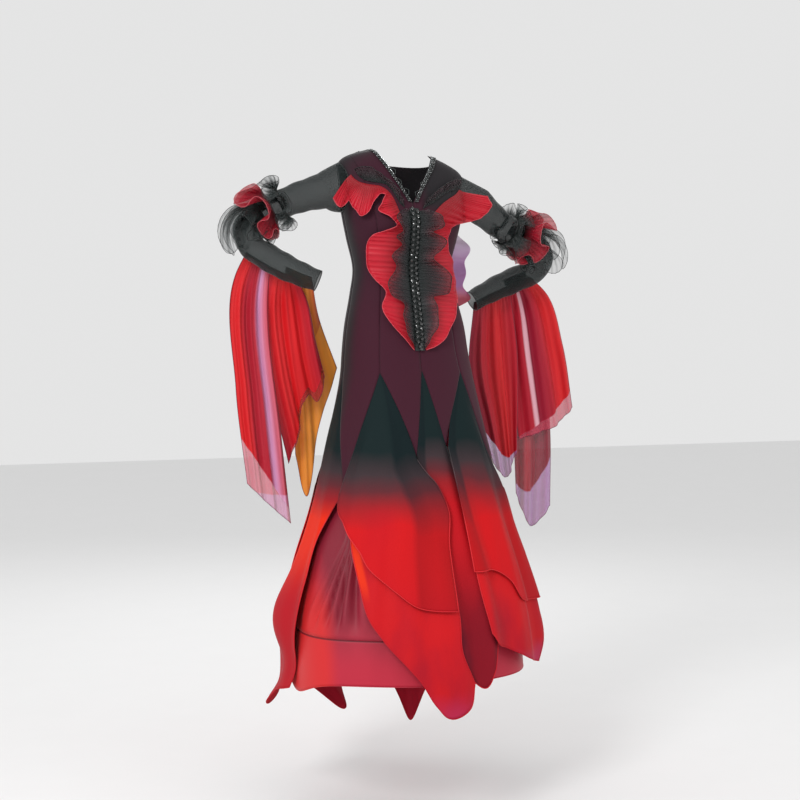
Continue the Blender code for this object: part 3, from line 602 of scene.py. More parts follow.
@dataclass(frozen=True)
class Satin:
    """Dusty crimson satin of the underskirt."""

    name: str = "underskirt_satin"
    rose: Triple = (0.390, 0.022, 0.048)
    wine: Triple = (0.220, 0.010, 0.026)
    # red: brighter red painted where light falls on the satin's left.
    red: Triple = (0.620, 0.016, 0.016)
    lower_rose: Triple = (0.500, 0.012, 0.038)
    # Painted shade along the groove of the band seam, and its height.
    seam: Triple = (0.080, 0.003, 0.010)
    seam_height: float = -1.216

    def build(self) -> bpy.types.Material:
        """Make the material."""
        r = Recipe(self.name)
        cloud = r.noise(7.0, 4.0, (1.0, 1.0, 0.3))
        body = r.mix(cloud.step(0.38, 0.66), self.wine, self.rose)
        z = r.along("Z")
        colour = r.mix(z.step(-1.14, -1.30) * 0.85, body, self.lower_rose)
        # Painted light: the satin's left, by the slit, is brighter red where the light from the left
        # falls on it.
        left = (r.along("X") + r.noise(5.0) * 0.03).step(-0.225, -0.265)
        colour = r.mix(left * z.step(-0.95, -1.20) * 0.9, colour, self.red)
        # Painted shade: a dark line along the band seam, where its groove would lie in shade.
        line = (z - self.seam_height).absolute().step(0.0030, 0.0008)
        colour = r.mix(line * 0.8, colour, self.seam)
        grain = r.noise(700.0, 2.0, (1.0, 1.0, 0.05))
        roughness = 0.46 + cloud * 0.14
        return r.finish(colour, roughness, r.bump(grain, 0.0002, 0.4), Sheen_Weight=0.08,
                        Sheen_Roughness=0.3, Specular_IOR_Level=0.35)


@dataclass(frozen=True)
class Organza:
    """See-through gathered organza, denser at the seam where its pleats meet."""

    name: str
    seam: Triple
    edge: Triple
    seam_cover: float
    edge_cover: float
    pleats: float
    pleat_contrast: float = 0.5
    sheen: float = 0.3

    def build(self) -> bpy.types.Material:
        """Make the material."""
        r = Recipe(self.name)
        out = 1.0 - r.along("Y", "UV")
        round_ = r.along("X", "UV")
        wander = (r.noise(3.0, 2.0, (4.0, 1.0, 1.0), "UV") - 0.5) * 2.0
        pleat = ((round_ * (self.pleats * math.tau) + wander).sine() * 0.5 + 0.5) ** 2.0
        fade = 1.0 - out.step(0.35, 1.0)
        line = pleat * (0.35 + fade * 0.65)
        colour = r.mix(out.step(0.0, 0.85), self.seam, self.edge)
        dark = tuple(c * 0.35 for c in self.seam)
        colour = r.mix(line * self.pleat_contrast, colour, dark)
        cover = self.seam_cover + out.step(0.05, 0.9) * (self.edge_cover - self.seam_cover)
        cover = (cover + line * 0.35 * (1.0 - self.edge_cover)).math("MINIMUM", 1.0)
        return r.finish(colour, 0.5, r.bump(pleat, 0.0010, 0.7), cover,
                        Sheen_Weight=self.sheen, Sheen_Roughness=0.3, Specular_IOR_Level=0.35)


@dataclass(frozen=True)
class SheerMesh:
    """Black-green stretch mesh of the sleeves."""

    name: str = "sheer_mesh"
    dark: Triple = (0.005, 0.010, 0.010)
    pale: Triple = (0.018, 0.028, 0.027)
    cover: float = 0.64
    thinner: float = 0.16  # how much less it covers over the middle of the front and the back

    def build(self) -> bpy.types.Material:
        """Make the material."""
        r = Recipe(self.name)
        cloud = r.noise(9.0, 3.0).step(0.35, 0.7)
        colour = r.mix(cloud * 0.7, self.dark, self.pale)
        holes = r.noise(1400.0, 1.0)
        middle = (r.along("X", "UV") * math.tau).sine().absolute()
        alpha = self.cover - middle * self.thinner + (holes - 0.5) * 0.25
        return r.finish(colour, 0.72, r.bump(holes, 0.0003, 0.4), alpha, Sheen_Weight=0.25,
                        Sheen_Roughness=0.4, Specular_IOR_Level=0.25)


@dataclass(frozen=True)
class FloatChiffon:
    """Light chiffon of a float: one colour for each length fold, and a paler hem corner."""

    name: str
    bands: tuple  # share across the float and its colour
    hem: Triple
    hem_start: float = 0.88
    cover: float = 0.90
    hem_cover: float = 0.50
    hem_slant: float = 0.10
    tip: Triple = (0.620, 0.330, 0.520)
    tip_start: float = 2.0

    def build(self) -> bpy.types.Material:
        """Make the material."""
        r = Recipe(self.name)
        across = r.along("X", "UV")
        down = 1.0 - r.along("Y", "UV")
        wander = (r.noise(2.0, 2.0, (2.0, 0.6, 1.0), "UV") - 0.5) * 0.08
        colour = r.band(across + wander, self.bands)
        # Painted shade: darker streaks along the float's folds, where the cloth also covers a little
        # more.
        fold_shade_streak = r.noise(1.6, 2.0, (6.0, 0.5, 1.0), "UV").step(0.45, 0.75)
        dark = r.mix(0.60, colour, (0.16, 0.0, 0.006))
        colour = r.mix(fold_shade_streak * 0.50, colour, dark)
        fall = down + (across - 0.5) * self.hem_slant + wander * 0.15
        hem = fall.step(self.hem_start, self.hem_start + 0.008)
        colour = r.mix(hem, colour, self.hem)
        tip = (down - (across - 0.5) * self.hem_slant).step(self.tip_start, self.tip_start + 0.008)
        colour = r.mix(tip * 0.8, colour, self.tip)
        cover = self.cover + hem * (self.hem_cover - self.cover) + fold_shade_streak * 0.10
        crinkle = r.noise(380.0, 2.0, (1.0, 1.0, 0.12))
        return r.finish(colour, 0.6, r.bump(crinkle, 0.0005, 0.5), cover, Sheen_Weight=0.12,
                        Sheen_Roughness=0.3, Specular_IOR_Level=0.3)


@dataclass(frozen=True)
class Plain:
    """Even finish with fine grain for ribbon, edge cord, beads and the floor."""

    name: str
    colour: Triple
    roughness: float
    metallic: float = 0.0
    grain: float = 900.0
    relief: float = 0.0002
    variation: float = 0.2
    coat: float = 0.0

    def build(self) -> bpy.types.Material:
        """Make the material."""
        r = Recipe(self.name)
        cloud = r.noise(self.grain * 0.2, 2.0)
        dark = tuple(c * (1.0 - self.variation) for c in self.colour)
        colour = r.mix(cloud, dark, self.colour)
        relief = r.bump(r.noise(self.grain, 2.0), self.relief, 0.5)
        return r.finish(colour, self.roughness, relief, Metallic=self.metallic,
                        Coat_Weight=self.coat)


class Tailor:
    def __init__(self) -> None:
        """Start with no finish made."""
        self.made: dict[str, bpy.types.Material] = {}
        self.collection = bpy.data.collections.new("dress")
        bpy.context.scene.collection.children.link(self.collection)

    def material(self, finish) -> bpy.types.Material:
        """Material of a finish, made once."""
        if finish.name not in self.made:
            self.made[finish.name] = finish.build()
        return self.made[finish.name]

    def add(self, name: str, bm: bmesh.types.BMesh, finish, slot: str,
            shading: Shading = Shading.SMOOTH) -> bpy.types.Object:
        """Turn a bmesh into a piece that rides on the body.

        Args:
            name: Name of the piece.
            bm: The mesh, which is freed.
            finish: Its finish.
            slot: The record's material slot; not used.
            shading: Smooth or faceted.

        Returns:
            The piece.
        """
        mesh = bpy.data.meshes.new(name)
        bm.to_mesh(mesh)
        bm.free()
        if shading is Shading.SMOOTH:
            mesh.shade_smooth()
        else:
            mesh.shade_flat()
        mesh.materials.append(self.material(finish))
        piece = bpy.data.objects.new(name, mesh)
        self.collection.objects.link(piece)
        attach(piece, "root")
        LOG.info("%s: %d faces", name, len(mesh.polygons))
        return piece

    def cloth(self, node: str, columns: int, rows: int, place: Place, finish, slot: str, cut: Cut,
              closed: bool = False, wall: float = 0.0006) -> bpy.types.Object:
        """Fine piece of cloth in place of a node of the frame.

        Args:
            node: The node that it stands for, whose name it takes.
            columns: Faces across.
            rows: Faces down.
            place: Point at a share across and a share down.
            finish: Its finish.
            slot: The record's material slot.
            cut: Its flat size; not used.
            closed: Whether its sides meet.
            wall: Thickness of the cloth.

        Returns:
            The piece.
        """
        bm = bmesh.new()
        bm.loops.layers.uv.new("UVMap")
        bmesh.ops.create_grid(bm, x_segments=columns, y_segments=rows, size=0.5, calc_uvs=True)
        for vertex in bm.verts:
            vertex.co = Vector(place(vertex.co.x + 0.5, 0.5 - vertex.co.y))
        if closed:
            bmesh.ops.remove_doubles(bm, verts=bm.verts, dist=0.00002)
        bmesh.ops.recalc_face_normals(bm, faces=bm.faces)
        piece = self.add(node + "_cloth", bm, finish, slot)
        solid = piece.modifiers.new("wall", "SOLIDIFY")
        solid.thickness = wall
        solid.offset = 0.0
        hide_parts(node)
        return piece

    def edge_cord(self, name: str, points: Sequence, radius: float, finish, slot: str,
                  closed: bool = False, sides: int = 6) -> bpy.types.Object:
        """Thin cord or rolled hem along an edge.

        Args:
            name: Name of the piece.
            points: Middle line.
            radius: Radius of the cord.
            finish: Its finish.
            slot: The record's material slot.
            closed: Whether its ends meet.
            sides: Sides of its section.

        Returns:
            The piece.
        """
        line = [Vector(p) for p in points]
        count = len(line)
        bm = bmesh.new()
        turn = None
        first: list = []
        ring: list = []
        for k, point in enumerate(line):
            ahead = line[(k + 1) % count] if closed else line[min(k + 1, count - 1)]
            behind = line[k - 1] if closed or k else line[0]
            tangent = (ahead - behind).normalized()
            turn = tangent.to_track_quat("Z", "Y") if turn is None else (
                (turn @ Vector((0, 0, 1))).rotation_difference(tangent) @ turn)
            place = Matrix.Translation(point) @ turn.to_matrix().to_4x4()
            made = bmesh.ops.create_circle(bm, segments=sides, radius=radius, matrix=place)["verts"]
            if ring:
                self.bridge(bm, ring, made)
            ring = made
            first = first or made
        if closed:
            self.bridge(bm, ring, first, twisted=True)
        else:
            bm.faces.new(first)
            bm.faces.new(ring)
        bmesh.ops.recalc_face_normals(bm, faces=bm.faces)
        return self.add(name, bm, finish, slot)

    @staticmethod
    def bridge(bm: bmesh.types.BMesh, low: list, high: list, twisted: bool = False) -> None:
        """Join two rings of vertices.

        Args:
            bm: The mesh.
            low: First ring.
            high: Second ring.
            twisted: Whether the second ring starts at its nearest vertex.
        """
        count = len(low)
        shift = 0
        if twisted:
            shift = min(range(count), key=lambda k: (high[k].co - low[0].co).length)
        for k in range(count):
            a, b = k, (k + 1) % count
            bm.faces.new((low[a], low[b], high[(b + shift) % count], high[(a + shift) % count]))


@dataclass
class Bodice:
    """Eight panels and the cords in their seams."""

    tailor: Tailor
    columns: int = 22
    rows: int = 120
    seam_gap: float = 0.0003
    seam_dip: float = 0.0009
    seam_width: float = 0.0035
    tip_station: float = 5.97
    armpit_station: float = 1.5
    stitch_pitch: float = 0.0065
    stitches: int = 80
    cord_points: int = 60
    seam_cords: tuple = (  # name, height of its top and bottom, radius
        ("shoulder", -0.002, -0.041, 0.0015), ("side", -0.162, -0.580, 0.0009))
    neck_width: float = 0.156
    v_depth: float = 0.135
    back_neck_depth: float = 0.030
    ridge_gap: float = 0.7
    princess: tuple = (  # station, angle at the front, angle at the back, height
        (0.0, 89.3, 90.7, -0.022), (0.4, 58, 122, -0.036), (0.7, 46, 134, -0.062),
        (1.0, 40, 139, -0.105), (1.5, 37, 141, -0.150), (2.0, 36, 141, -0.190),
        (3.0, 36, 139, -0.300), (4.0, 35, 138, -0.440), (5.0, 35, 138, -0.560))
    armhole_rows: tuple = (  # share of the way down, angle from the side seam, height
        (0.00, 0.7, -0.042), (0.15, 14, -0.050), (0.32, 24, -0.065), (0.50, 28, -0.090),
        (0.70, 24, -0.120), (0.86, 13, -0.148), (1.00, 0, -0.162))
    side_rows: tuple = (
        (1.5, -0.162), (2.0, -0.200), (3.0, -0.300), (4.0, -0.440), (5.0, -0.580))
    centre_rows: tuple = (
        (1.0, -0.135), (2.0, -0.190), (3.0, -0.300), (4.0, -0.440), (5.0, -0.555))
    godets: dict = field(default_factory=lambda: {
        # apex, end of the left seam, end of the right seam, how far each seam bows
        "front_right": ((-35, -0.560), (-61, -0.860), (-6.5, -0.775), 0.5, 0.8),
        "front_centre": ((0, -0.555), (-6.5, -0.775), (10.5, -0.745), 0.0, 0.2),
        "front_left": ((38, -0.560), (10.5, -0.745), (61, -0.860), 0.6, 0.3),
        "side_left": ((90, -0.580), (61, -0.860), (120, -0.860), 0.3, 0.3),
        "back_left": ((138, -0.560), (120, -0.860), (158, -0.800), 0.3, 0.3),
        "back_centre": ((180, -0.560), (158, -0.800), (202, -0.800), 0.3, 0.3),
        "back_right": ((222, -0.560), (202, -0.800), (240, -0.860), 0.3, 0.3),
        "side_right": ((270, -0.580), (240, -0.860), (299, -0.860), 0.3, 0.3),
    })

    def __post_init__(self) -> None:
        """Fit the seam lines."""
        self.princess_line = Line.keyed(self.princess)
        self.armhole_line = Line.keyed(self.armhole_rows)
        self.side_line = Line.keyed(self.side_rows)
        self.centre_line = Line.keyed(self.centre_rows)

    def neck_front(self, share: float) -> Pair:
        """Front neck edge from a neck point to the bottom of the V, as angle and height."""
        z = -self.v_depth * share
        angle = FORM.angle_at(0.5 * self.neck_width * (1.0 - share), z)
        return min(angle, 90.0 - self.ridge_gap), z

    def neck_back(self, share: float) -> Pair:
        """Back neck edge from a neck point to the centre back, as angle and height."""
        angle = 90.0 + self.ridge_gap + (90.0 - self.ridge_gap) * share
        return angle, -self.back_neck_depth * math.sin(share * math.pi / 2)

    def centre_seam(self, station: float, back: bool) -> Pair:
        """Neck edge and centre seam on the +X half, as angle and height."""
        if station < 1.0:
            return self.neck_back(station) if back else self.neck_front(station)
        z = float(self.centre_line.at(station)[0])
        if back:
            z += (self.v_depth - self.back_neck_depth) * max(0.0, 2.0 - station)
        return (180.0 if back else 0.0), z

    def princess_seam(self, station: float, back: bool) -> Pair:
        """Seam over the bust or the shoulder blade, as angle and height."""
        front_angle, back_angle, z = self.princess_line.at(station)
        return (back_angle if back else front_angle), z

    def side_seam(self, station: float, back: bool) -> Pair:
        """Armhole and side seam, as angle and height."""
        if station >= self.armpit_station:
            return 90.0, float(self.side_line.at(station)[0])
        away, z = self.armhole_line.at(station / self.armpit_station)
        return (90.0 + away if back else 90.0 - away), z

    def godet_seam(self, name: str, right: bool, share: float) -> np.ndarray:
        """Seam beside a godet.

        Args:
            name: Name of the godet.
            right: Whether it is the seam on its right.
            share: Share of the way down from the apex.

        Returns:
            Angle and height.
        """
        apex, left_tail, right_tail, left_bow, right_bow = self.godets[name]
        tail, bow = (right_tail, right_bow) if right else (left_tail, left_bow)
        share_out = share + bow * share * (1.0 - share) * 0.8
        return np.array((apex[0] + (tail[0] - apex[0]) * share_out,
                         apex[1] + (tail[1] - apex[1]) * share))

    def sewn_point(self, left: np.ndarray, right: np.ndarray, u: float,
                   off: Callable[[float], float]) -> Triple:
        """Point between two seams, with a shallow dip along each of them.

        Args:
            left: Angle and height of the left seam.
            right: Angle and height of the right seam.
            u: Share across.
            off: Extra distance out for a distance from the nearer seam.

        Returns:
            The point.
        """
        a, b = (np.array(FORM.surface(*end)) for end in (left, right))
        width = max(float(np.linalg.norm(b - a)), 0.0004)
        end = min(self.seam_gap / 2 / width, 0.25)
        share = end + (1.0 - 2.0 * end) * u
        inside = min(share, 1.0 - share) * width
        angle, z = left + (right - left) * share
        dip = self.seam_dip * bell(inside, 0.0, self.seam_width)
        return FORM.surface(angle, z, off(inside) - dip)

    def panel(self, name: str, seams: tuple, back: bool, mirrored: bool, godets: Pair,
              cut: Cut) -> None:
        """One panel between two seams, ending in a point between two godets.

        Args:
            name: Name of the node.
            seams: Its left and right seam.
            back: Whether it is a back panel.
            mirrored: Whether it lies on the wearer's right.
            godets: Names of the godets on its left and right.
            cut: Its flat size.
        """
        def edge(which: int, station: float) -> np.ndarray:
            if station > 5.0:
                return self.godet_seam(godets[which], which == 0, station - 5.0)
            angle, z = seams[which](station, back)
            if station <= 4.0:
                return np.array((-angle if mirrored else angle, z))
            apex = self.godets[godets[which]][0]
            angle = (-angle if mirrored else angle) % 360.0
            near = half_turn(apex[0] - angle)
            share = station - 4.0
            return np.array((angle + near * share, z + (apex[1] - z) * share))

        def place(u: float, v: float) -> Triple:
            station = v * self.tip_station
            left = edge(0, station)
            right = edge(1, station)
            right[0] = left[0] + (right[0] - left[0]) % 360.0
            return self.sewn_point(left, right, u, lambda inside: 0.0)

        self.tailor.cloth(name, self.columns, self.rows, place, Jersey(), "bodice_jersey", cut)

    def build(self) -> None:
        """Make the panels."""
        centre, princess, side = self.centre_seam, self.princess_seam, self.side_seam
        middle = Cut(0.145, 0.80, Held.STRETCHED, 0.072)
        outer = Cut(0.135, 0.86, Held.STRETCHED, 0.072)
        rows = (
            ("centre_front_left", (centre, princess), ("front_centre", "front_left"), middle),
            ("side_front_left", (princess, side), ("front_left", "side_left"), outer),
            ("side_back_left", (side, princess), ("side_left", "back_left"), outer),
            ("centre_back_left", (princess, centre), ("back_left", "back_centre"), middle),
            ("centre_back_right", (centre, princess), ("back_centre", "back_right"), middle),
            ("side_back_right", (princess, side), ("back_right", "side_right"), outer),
            ("side_front_right", (side, princess), ("side_right", "front_right"), outer),
            ("centre_front_right", (princess, centre), ("front_right", "front_centre"), middle),
        )
        for name, seams, godets, cut in rows:
            self.panel("panel_" + name, seams, "back" in name, "right" in name, godets, cut)
        stitches = [FORM.surface(180.0, -self.back_neck_depth - self.stitch_pitch * k, -self.seam_dip)
                    for k in range(self.stitches)]
        self.seam_cord("centre_back_seam", stitches, self.seam_dip)
        for label, angle in (("left", 90.0), ("right", 270.0)):
            for seam, top, bottom, radius in self.seam_cords:
                shares = [k / (self.cord_points - 1) for k in range(self.cord_points)]
                points = [FORM.surface(angle, top + (bottom - top) * share, -self.seam_dip)
                          for share in shares]
                self.seam_cord(f"{seam}_seam_{label}", points, radius)

    def seam_cord(self, name: str, points: Sequence, radius: float) -> None:
        """Thin jersey cord that closes a seam."""
        self.tailor.edge_cord(name, points, radius, Jersey(), "bodice_jersey")


@dataclass
class Beadwork:
    """Neck bands, the band down the front, beads and lace loops."""

    tailor: Tailor
    bodice: Bodice
    band_width: float = 0.009
    band_off: float = 0.0021
    placket_width: float = 0.024
    placket_top: float = -0.147
    placket_length: float = 0.358
    row_spread: float = 0.0058
    bead_radius: float = 0.0050
    bead_pitch: float = 0.0128
    neck_bead_radius: float = 0.0024
    ribbon: Plain = Plain("black_ribbon", (0.010, 0.016, 0.015), 0.55)
    bead: Plain = Plain("black_bead", (0.006, 0.007, 0.007), 0.08, coat=1.0, relief=0.00002)
    # The steel beads and the silver glint beads stand in for glints on the black beads, as painted
    # highlights; the silver also makes the real neck edging.
    steel: Plain = Plain("steel_bead", (0.090, 0.100, 0.100), 0.12, coat=1.0, relief=0.00002)
    silver: Plain = Plain("silver_bead", (0.62, 0.66, 0.66), 0.20, metallic=1.0, relief=0.00002)
    edging_radius: float = 0.0009
    glint_radius: float = 0.0013
    inset: float = 0.0006
    bead_rows: Pair = (0.0028, 0.0068)

    def toward_princess(self, edge: Callable[[float], Pair], share: float, back: bool) -> tuple:
        """Neck edge with its step per metre toward the princess seam."""
        a = np.array(edge(share), float)
        b = np.array(self.bodice.princess_seam(min(share, 0.999), back), float)
        gap = np.linalg.norm(np.array(FORM.surface(*b)) - np.array(FORM.surface(*a)))
        return a, (b - a) / max(float(gap), 0.02)

    def front_point(self, sign: float, share: float, across: float, off: float) -> Triple:
        """Point on the front neck band.

        Args:
            sign: -1 for the wearer's right, 1 for the left.
            share: Share of the way down the V.
            across: Distance from the neck edge onto the bodice.
            off: Distance out from the form.

        Returns:
            The point.
        """
        a, step = self.toward_princess(self.bodice.neck_front, share, False)
        angle, z = a + step * across
        return FORM.surface(sign * angle, z, off)

    def back_point(self, share: float, across: float, off: float) -> Triple:
        """Point on the back neck band, which runs from the left neck point to the right one."""
        half = share if share < 1.0 else 2.0 - share
        a, step = self.toward_princess(self.bodice.neck_back, half, True)
        if half > 0.8:
            step = np.array((0.0, -1.0))
        angle, z = a + step * across
        lift = 0.0018 * abs(share - 1.0) ** 4
        return FORM.surface(angle if share < 1.0 else 360.0 - angle, z, off + lift)

    def beads(self, name: str, points: Sequence, radius: float, finish: Plain) -> None:
        """Joined faceted beads.

        Args:
            name: Name of the piece.
            points: Middle of each bead.
            radius: Radius of a bead.
            finish: Its finish.
        """
        bm = bmesh.new()
        for k, point in enumerate(points):
            place = Matrix.Translation(Vector(point)) @ Matrix.Rotation(0.7 * k, 4, "Z")
            place = place @ Matrix.Rotation(0.45 * k, 4, "X")
            bmesh.ops.create_icosphere(bm, subdivisions=2, radius=radius, matrix=place)
        self.tailor.add(name, bm, finish, "black_ribbon", Shading.FACETED)

    def build(self) -> None:
        """Make the bands, the beads and the loops."""
        for side, sign in SIDE.items():
            self.build_front_band(side, sign)
        self.build_back_band()
        self.build_placket()
        self.build_loops()

    def build_front_band(self, side: str, sign: int) -> None:
        """Make one front neck band with its beads and its silver edging."""
        def band(u: float, v: float) -> Triple:
            across = self.inset + (self.band_width - self.inset) * v
            crown = 0.0008 * math.sin(math.pi * v)
            return self.front_point(sign, 0.003 + 0.977 * u, across, self.band_off + crown)

        self.tailor.cloth("neck_trim_" + side, 90, 4, band, self.ribbon, "black_ribbon",
                          Cut(0.010, 0.16, Held.STRETCHED))
        places = [self.front_point(sign, 0.05 + 0.92 * k / 25, across, self.band_off + 0.0028)
                  for k in range(26) for across in self.bead_rows]
        # At every other bead station one bead, in alternating rows, is a pale steel bead that stands
        # in for the glints on the black beads as a painted highlight.
        dark = [p for k, p in enumerate(places) if k % 4 not in (0, 3)]
        pale = [p for k, p in enumerate(places) if k % 4 in (0, 3)]
        self.beads("neck_beads_dark_" + side, dark, self.neck_bead_radius, self.bead)
        self.beads("neck_beads_pale_" + side, pale, self.neck_bead_radius * 0.9, self.steel)
        end = 0.46 if sign < 0 else 0.80
        line = [self.front_point(sign, 0.03 + end * k / 40, 0.0004, self.band_off + 0.0012)
                for k in range(41)]
        if sign < 0:
            self.tailor.edge_cord("neck_edging_right", line, self.edging_radius, self.silver,
                                  "black_ribbon")
        else:
            self.beads("neck_edging_left", line, self.edging_radius, self.silver)

    def build_back_band(self) -> None:
        """Make the back neck band with its beads."""
        def band(u: float, v: float) -> Triple:
            across = self.inset + (self.band_width - self.inset) * v
            return self.back_point(0.02 + 1.96 * u, across, self.band_off)

        self.tailor.cloth("neck_trim_back", 110, 4, band, self.ribbon, "black_ribbon",
                          Cut(0.010, 0.26, Held.STRETCHED))
        places = [self.back_point(0.14 + 1.72 * k / 44, 0.0048, self.band_off + 0.003)
                  for k in range(45)]
        self.beads("neck_beads_back", places, self.neck_bead_radius, self.bead)

    def build_placket(self) -> None:
        """Make the band down the front with its beads."""
        def placket(u: float, v: float) -> Triple:
            z = self.placket_top - self.placket_length * v
            out = self.placket_width * (u - 0.5)
            crown = 0.0012 * math.sin(math.pi * u)
            return FORM.surface(FORM.angle_at(out, z), z, 0.0023 + crown)

        self.tailor.cloth("bead_placket", 8, 160, placket, self.ribbon, "black_ribbon",
                          Cut(self.placket_width, 0.36, Held.STRETCHED))
        count = int(self.placket_length / self.bead_pitch)
        for label, sign in SIDE.items():
            points = []
            for k in range(count + 1):
                z = self.placket_top - 0.002 - self.bead_pitch * (k + (0.5 if sign > 0 else 0.0))
                spread = self.row_spread * ramp(z, -0.507, -0.47)
                points.append(FORM.surface(FORM.angle_at(sign * max(spread, 0.0012), z), z, 0.0072))
            self.beads("front_beads_" + label, points, self.bead_radius, self.bead)
        self.build_glints(count)

    def build_glints(self, count: int) -> None:
        """Make small silver beads between the black ones, which stand in for the glints on the black
        beads as painted highlights.

        Args:
            count: Black beads in a row.
        """
        points = []
        for k in range(2 * count):
            z = self.placket_top - self.bead_pitch * (0.5 * k + 0.35)
            side = 1.0 if k % 2 else -1.0
            spread = self.row_spread * ramp(z, -0.507, -0.47) + 0.0008
            points.append(FORM.surface(FORM.angle_at(side * spread, z), z, 0.0098))
        self.beads("front_glints", points, self.glint_radius, self.silver)

    def build_loops(self) -> None:
        """Make the lace loops that stand in from the neck edge."""
        rows = ((-1.0, 0.44, 0.0085), (-1.0, 0.80, 0.0080), (1.0, 0.82, 0.0080),
                (-1.0, 0.62, 0.0050), (1.0, 0.62, 0.0050))
        for number, (sign, share, size) in enumerate(rows):
            points = []
            for k in range(25):
                turn = math.pi * k / 24
                inward = size * math.sin(turn) * (1.0 + 0.12 * math.sin(5 * turn))
                x, y, z = self.front_point(sign, share + 0.055 * math.cos(turn), 0.001,
                                           self.band_off + 0.001)
                points.append((x - sign * inward * 0.85, y - 0.001, z + inward * 0.5))
            self.tailor.edge_cord(f"lace_loop_{number}", points, 0.0011, self.ribbon,
                                  "black_ribbon")


@dataclass
class Skirt:
    """Godets, petals and their rolled hems."""

    tailor: Tailor
    bodice: Bodice
    sewn_share: float = 0.4
    apex_share: float = 0.004
    hem_radius: float = 0.0014
    # Painted highlight: the rolled hems are dyed lighter than the godets, standing for the bright
    # line that light draws along each roll.
    highlit_hem_dye: DipDye = DipDye("rolled_hem", -0.780, -0.905, grey=(0.090, 0.050, 0.056),
                              dark=(0.030, 0.030, 0.032), red=(0.660, 0.028, 0.034))
    flutter: float = 0.0045
    # left edge, right edge, hem, layer, flare
    free_edges: dict = field(default_factory=lambda: {
        "front_right": (
            [(-60, -0.90), (-52, -0.93), (-44, -0.97), (-38, -1.00)],
            [(2, -0.84), (6, -0.90), (5, -0.98), (4, -1.14)],
            [(-38, -1.00), (-34, -1.03), (-27, -1.06), (-19, -1.09), (-8, -1.13), (4, -1.14)],
            2, 0.0),
        "front_centre": (
            [(-8, -0.95), (-7, -1.10), (-4, -1.22), (9, -1.31)],
            [(17, -0.88), (23, -1.02), (24, -1.20), (20, -1.29)],
            [(9, -1.31), (15, -1.335), (20, -1.29)],
            0, 0.0),
        "front_left": (
            [(12, -0.85), (13, -0.93), (14, -1.05)],
            [(70, -0.96), (76, -1.05), (78, -1.15)],
            [(14, -1.05), (28, -1.054), (36, -1.08), (42, -1.13), (56, -1.145), (78, -1.15)],
            2, 0.0),
        "side_left": (
            [(58, -0.95), (58, -1.06), (66, -1.17)],
            [(124, -0.96), (126, -1.10), (122, -1.22)],
            [(66, -1.17), (82, -1.27), (98, -1.34), (112, -1.27), (122, -1.22)],
            0, 0.0),
        "back_left": (
            [(114, -0.95), (111, -1.10), (114, -1.20)],
            [(166, -0.92), (170, -1.08), (166, -1.20)],
            [(114, -1.20), (128, -1.27), (146, -1.35), (156, -1.27), (166, -1.20)],
            2, 0.0),
        "back_centre": (
            [(152, -0.92), (150, -1.08), (156, -1.24)],
            [(208, -0.92), (210, -1.08), (204, -1.24)],
            [(156, -1.24), (168, -1.32), (180, -1.37), (192, -1.32), (204, -1.24)],
            0, 0.0),
        "back_right": (
            [(194, -0.92), (190, -1.08), (194, -1.20)],
            [(246, -0.95), (249, -1.10), (246, -1.20)],
            [(194, -1.20), (204, -1.27), (216, -1.35), (232, -1.27), (246, -1.20)],
            2, 0.0),
        "side_right": (
            [(236, -0.95), (234, -1.10), (238, -1.25)],
            [(292, -0.90), (285, -0.97), (284, -1.08), (281, -1.23), (276, -1.36)],
            [(238, -1.25), (250, -1.36), (259, -1.43), (267, -1.38), (276, -1.36)],
            0, 0.024),
    })
    # left edge, right edge, hem, layer, how far the tip is tucked in
    petals: dict = field(default_factory=lambda: {
        "petal_front_right": (
            [(-50, -0.85), (-45, -0.98), (-38, -1.07), (-32, -1.15), (-24, -1.21)],
            [(0, -0.85), (4, -1.00), (5, -1.16), (5, -1.24), (10, -1.32)],
            [(-24, -1.21), (-9, -1.305), (-3, -1.37), (1, -1.40), (7, -1.38), (10, -1.32)],
            1.1, 0.0),
        "petal_front_left": (
            [(15, -0.84), (15, -1.00), (16, -1.10), (18, -1.20)],
            [(60, -0.87), (70, -1.03), (72, -1.16), (68, -1.24), (62, -1.31)],
            [(18, -1.20), (22, -1.23), (29, -1.245), (42, -1.28), (62, -1.31)],
            1.17, 0.0),
        "petal_back_left": (
            [(142, -0.85), (142, -1.20), (150, -1.42)],
            [(178, -0.85), (180, -1.20), (176, -1.42)],
            [(150, -1.42), (162, -1.53), (176, -1.42)],
            -0.86, 1.0),
        "petal_back_right": (
            [(190, -0.85), (188, -1.20), (194, -1.40)],
            [(228, -0.85), (230, -1.20), (224, -1.38)],
            [(194, -1.40), (208, -1.49), (224, -1.38)],
            -1.0, 1.0),
    })
    tuck_start: float = -1.40

    def godet(self, name: str, finish: DipDye, cut: Cut) -> None:
        """One godet with its free lower part.

        Args:
            name: Its name, without the node's prefix.
            finish: Its finish.
            cut: Its flat size.
        """
        apex, left_tail, right_tail = self.bodice.godets[name][:3]
        left_edge, right_edge, hem, layer, flare = self.free_edges[name]

        def unwrap(points: Sequence[Pair]) -> list[Pair]:
            return [(half_turn(a - apex[0]) + apex[0], z) for a, z in points]

        left_line = Line.through(unwrap([left_tail] + left_edge), SKIRT_PATH)
        right_line = Line.through(unwrap([right_tail] + right_edge), SKIRT_PATH)
        hem_line = Line.through(unwrap(hem), SKIRT_PATH)
        start, end = left_line.at(1.0), right_line.at(1.0)

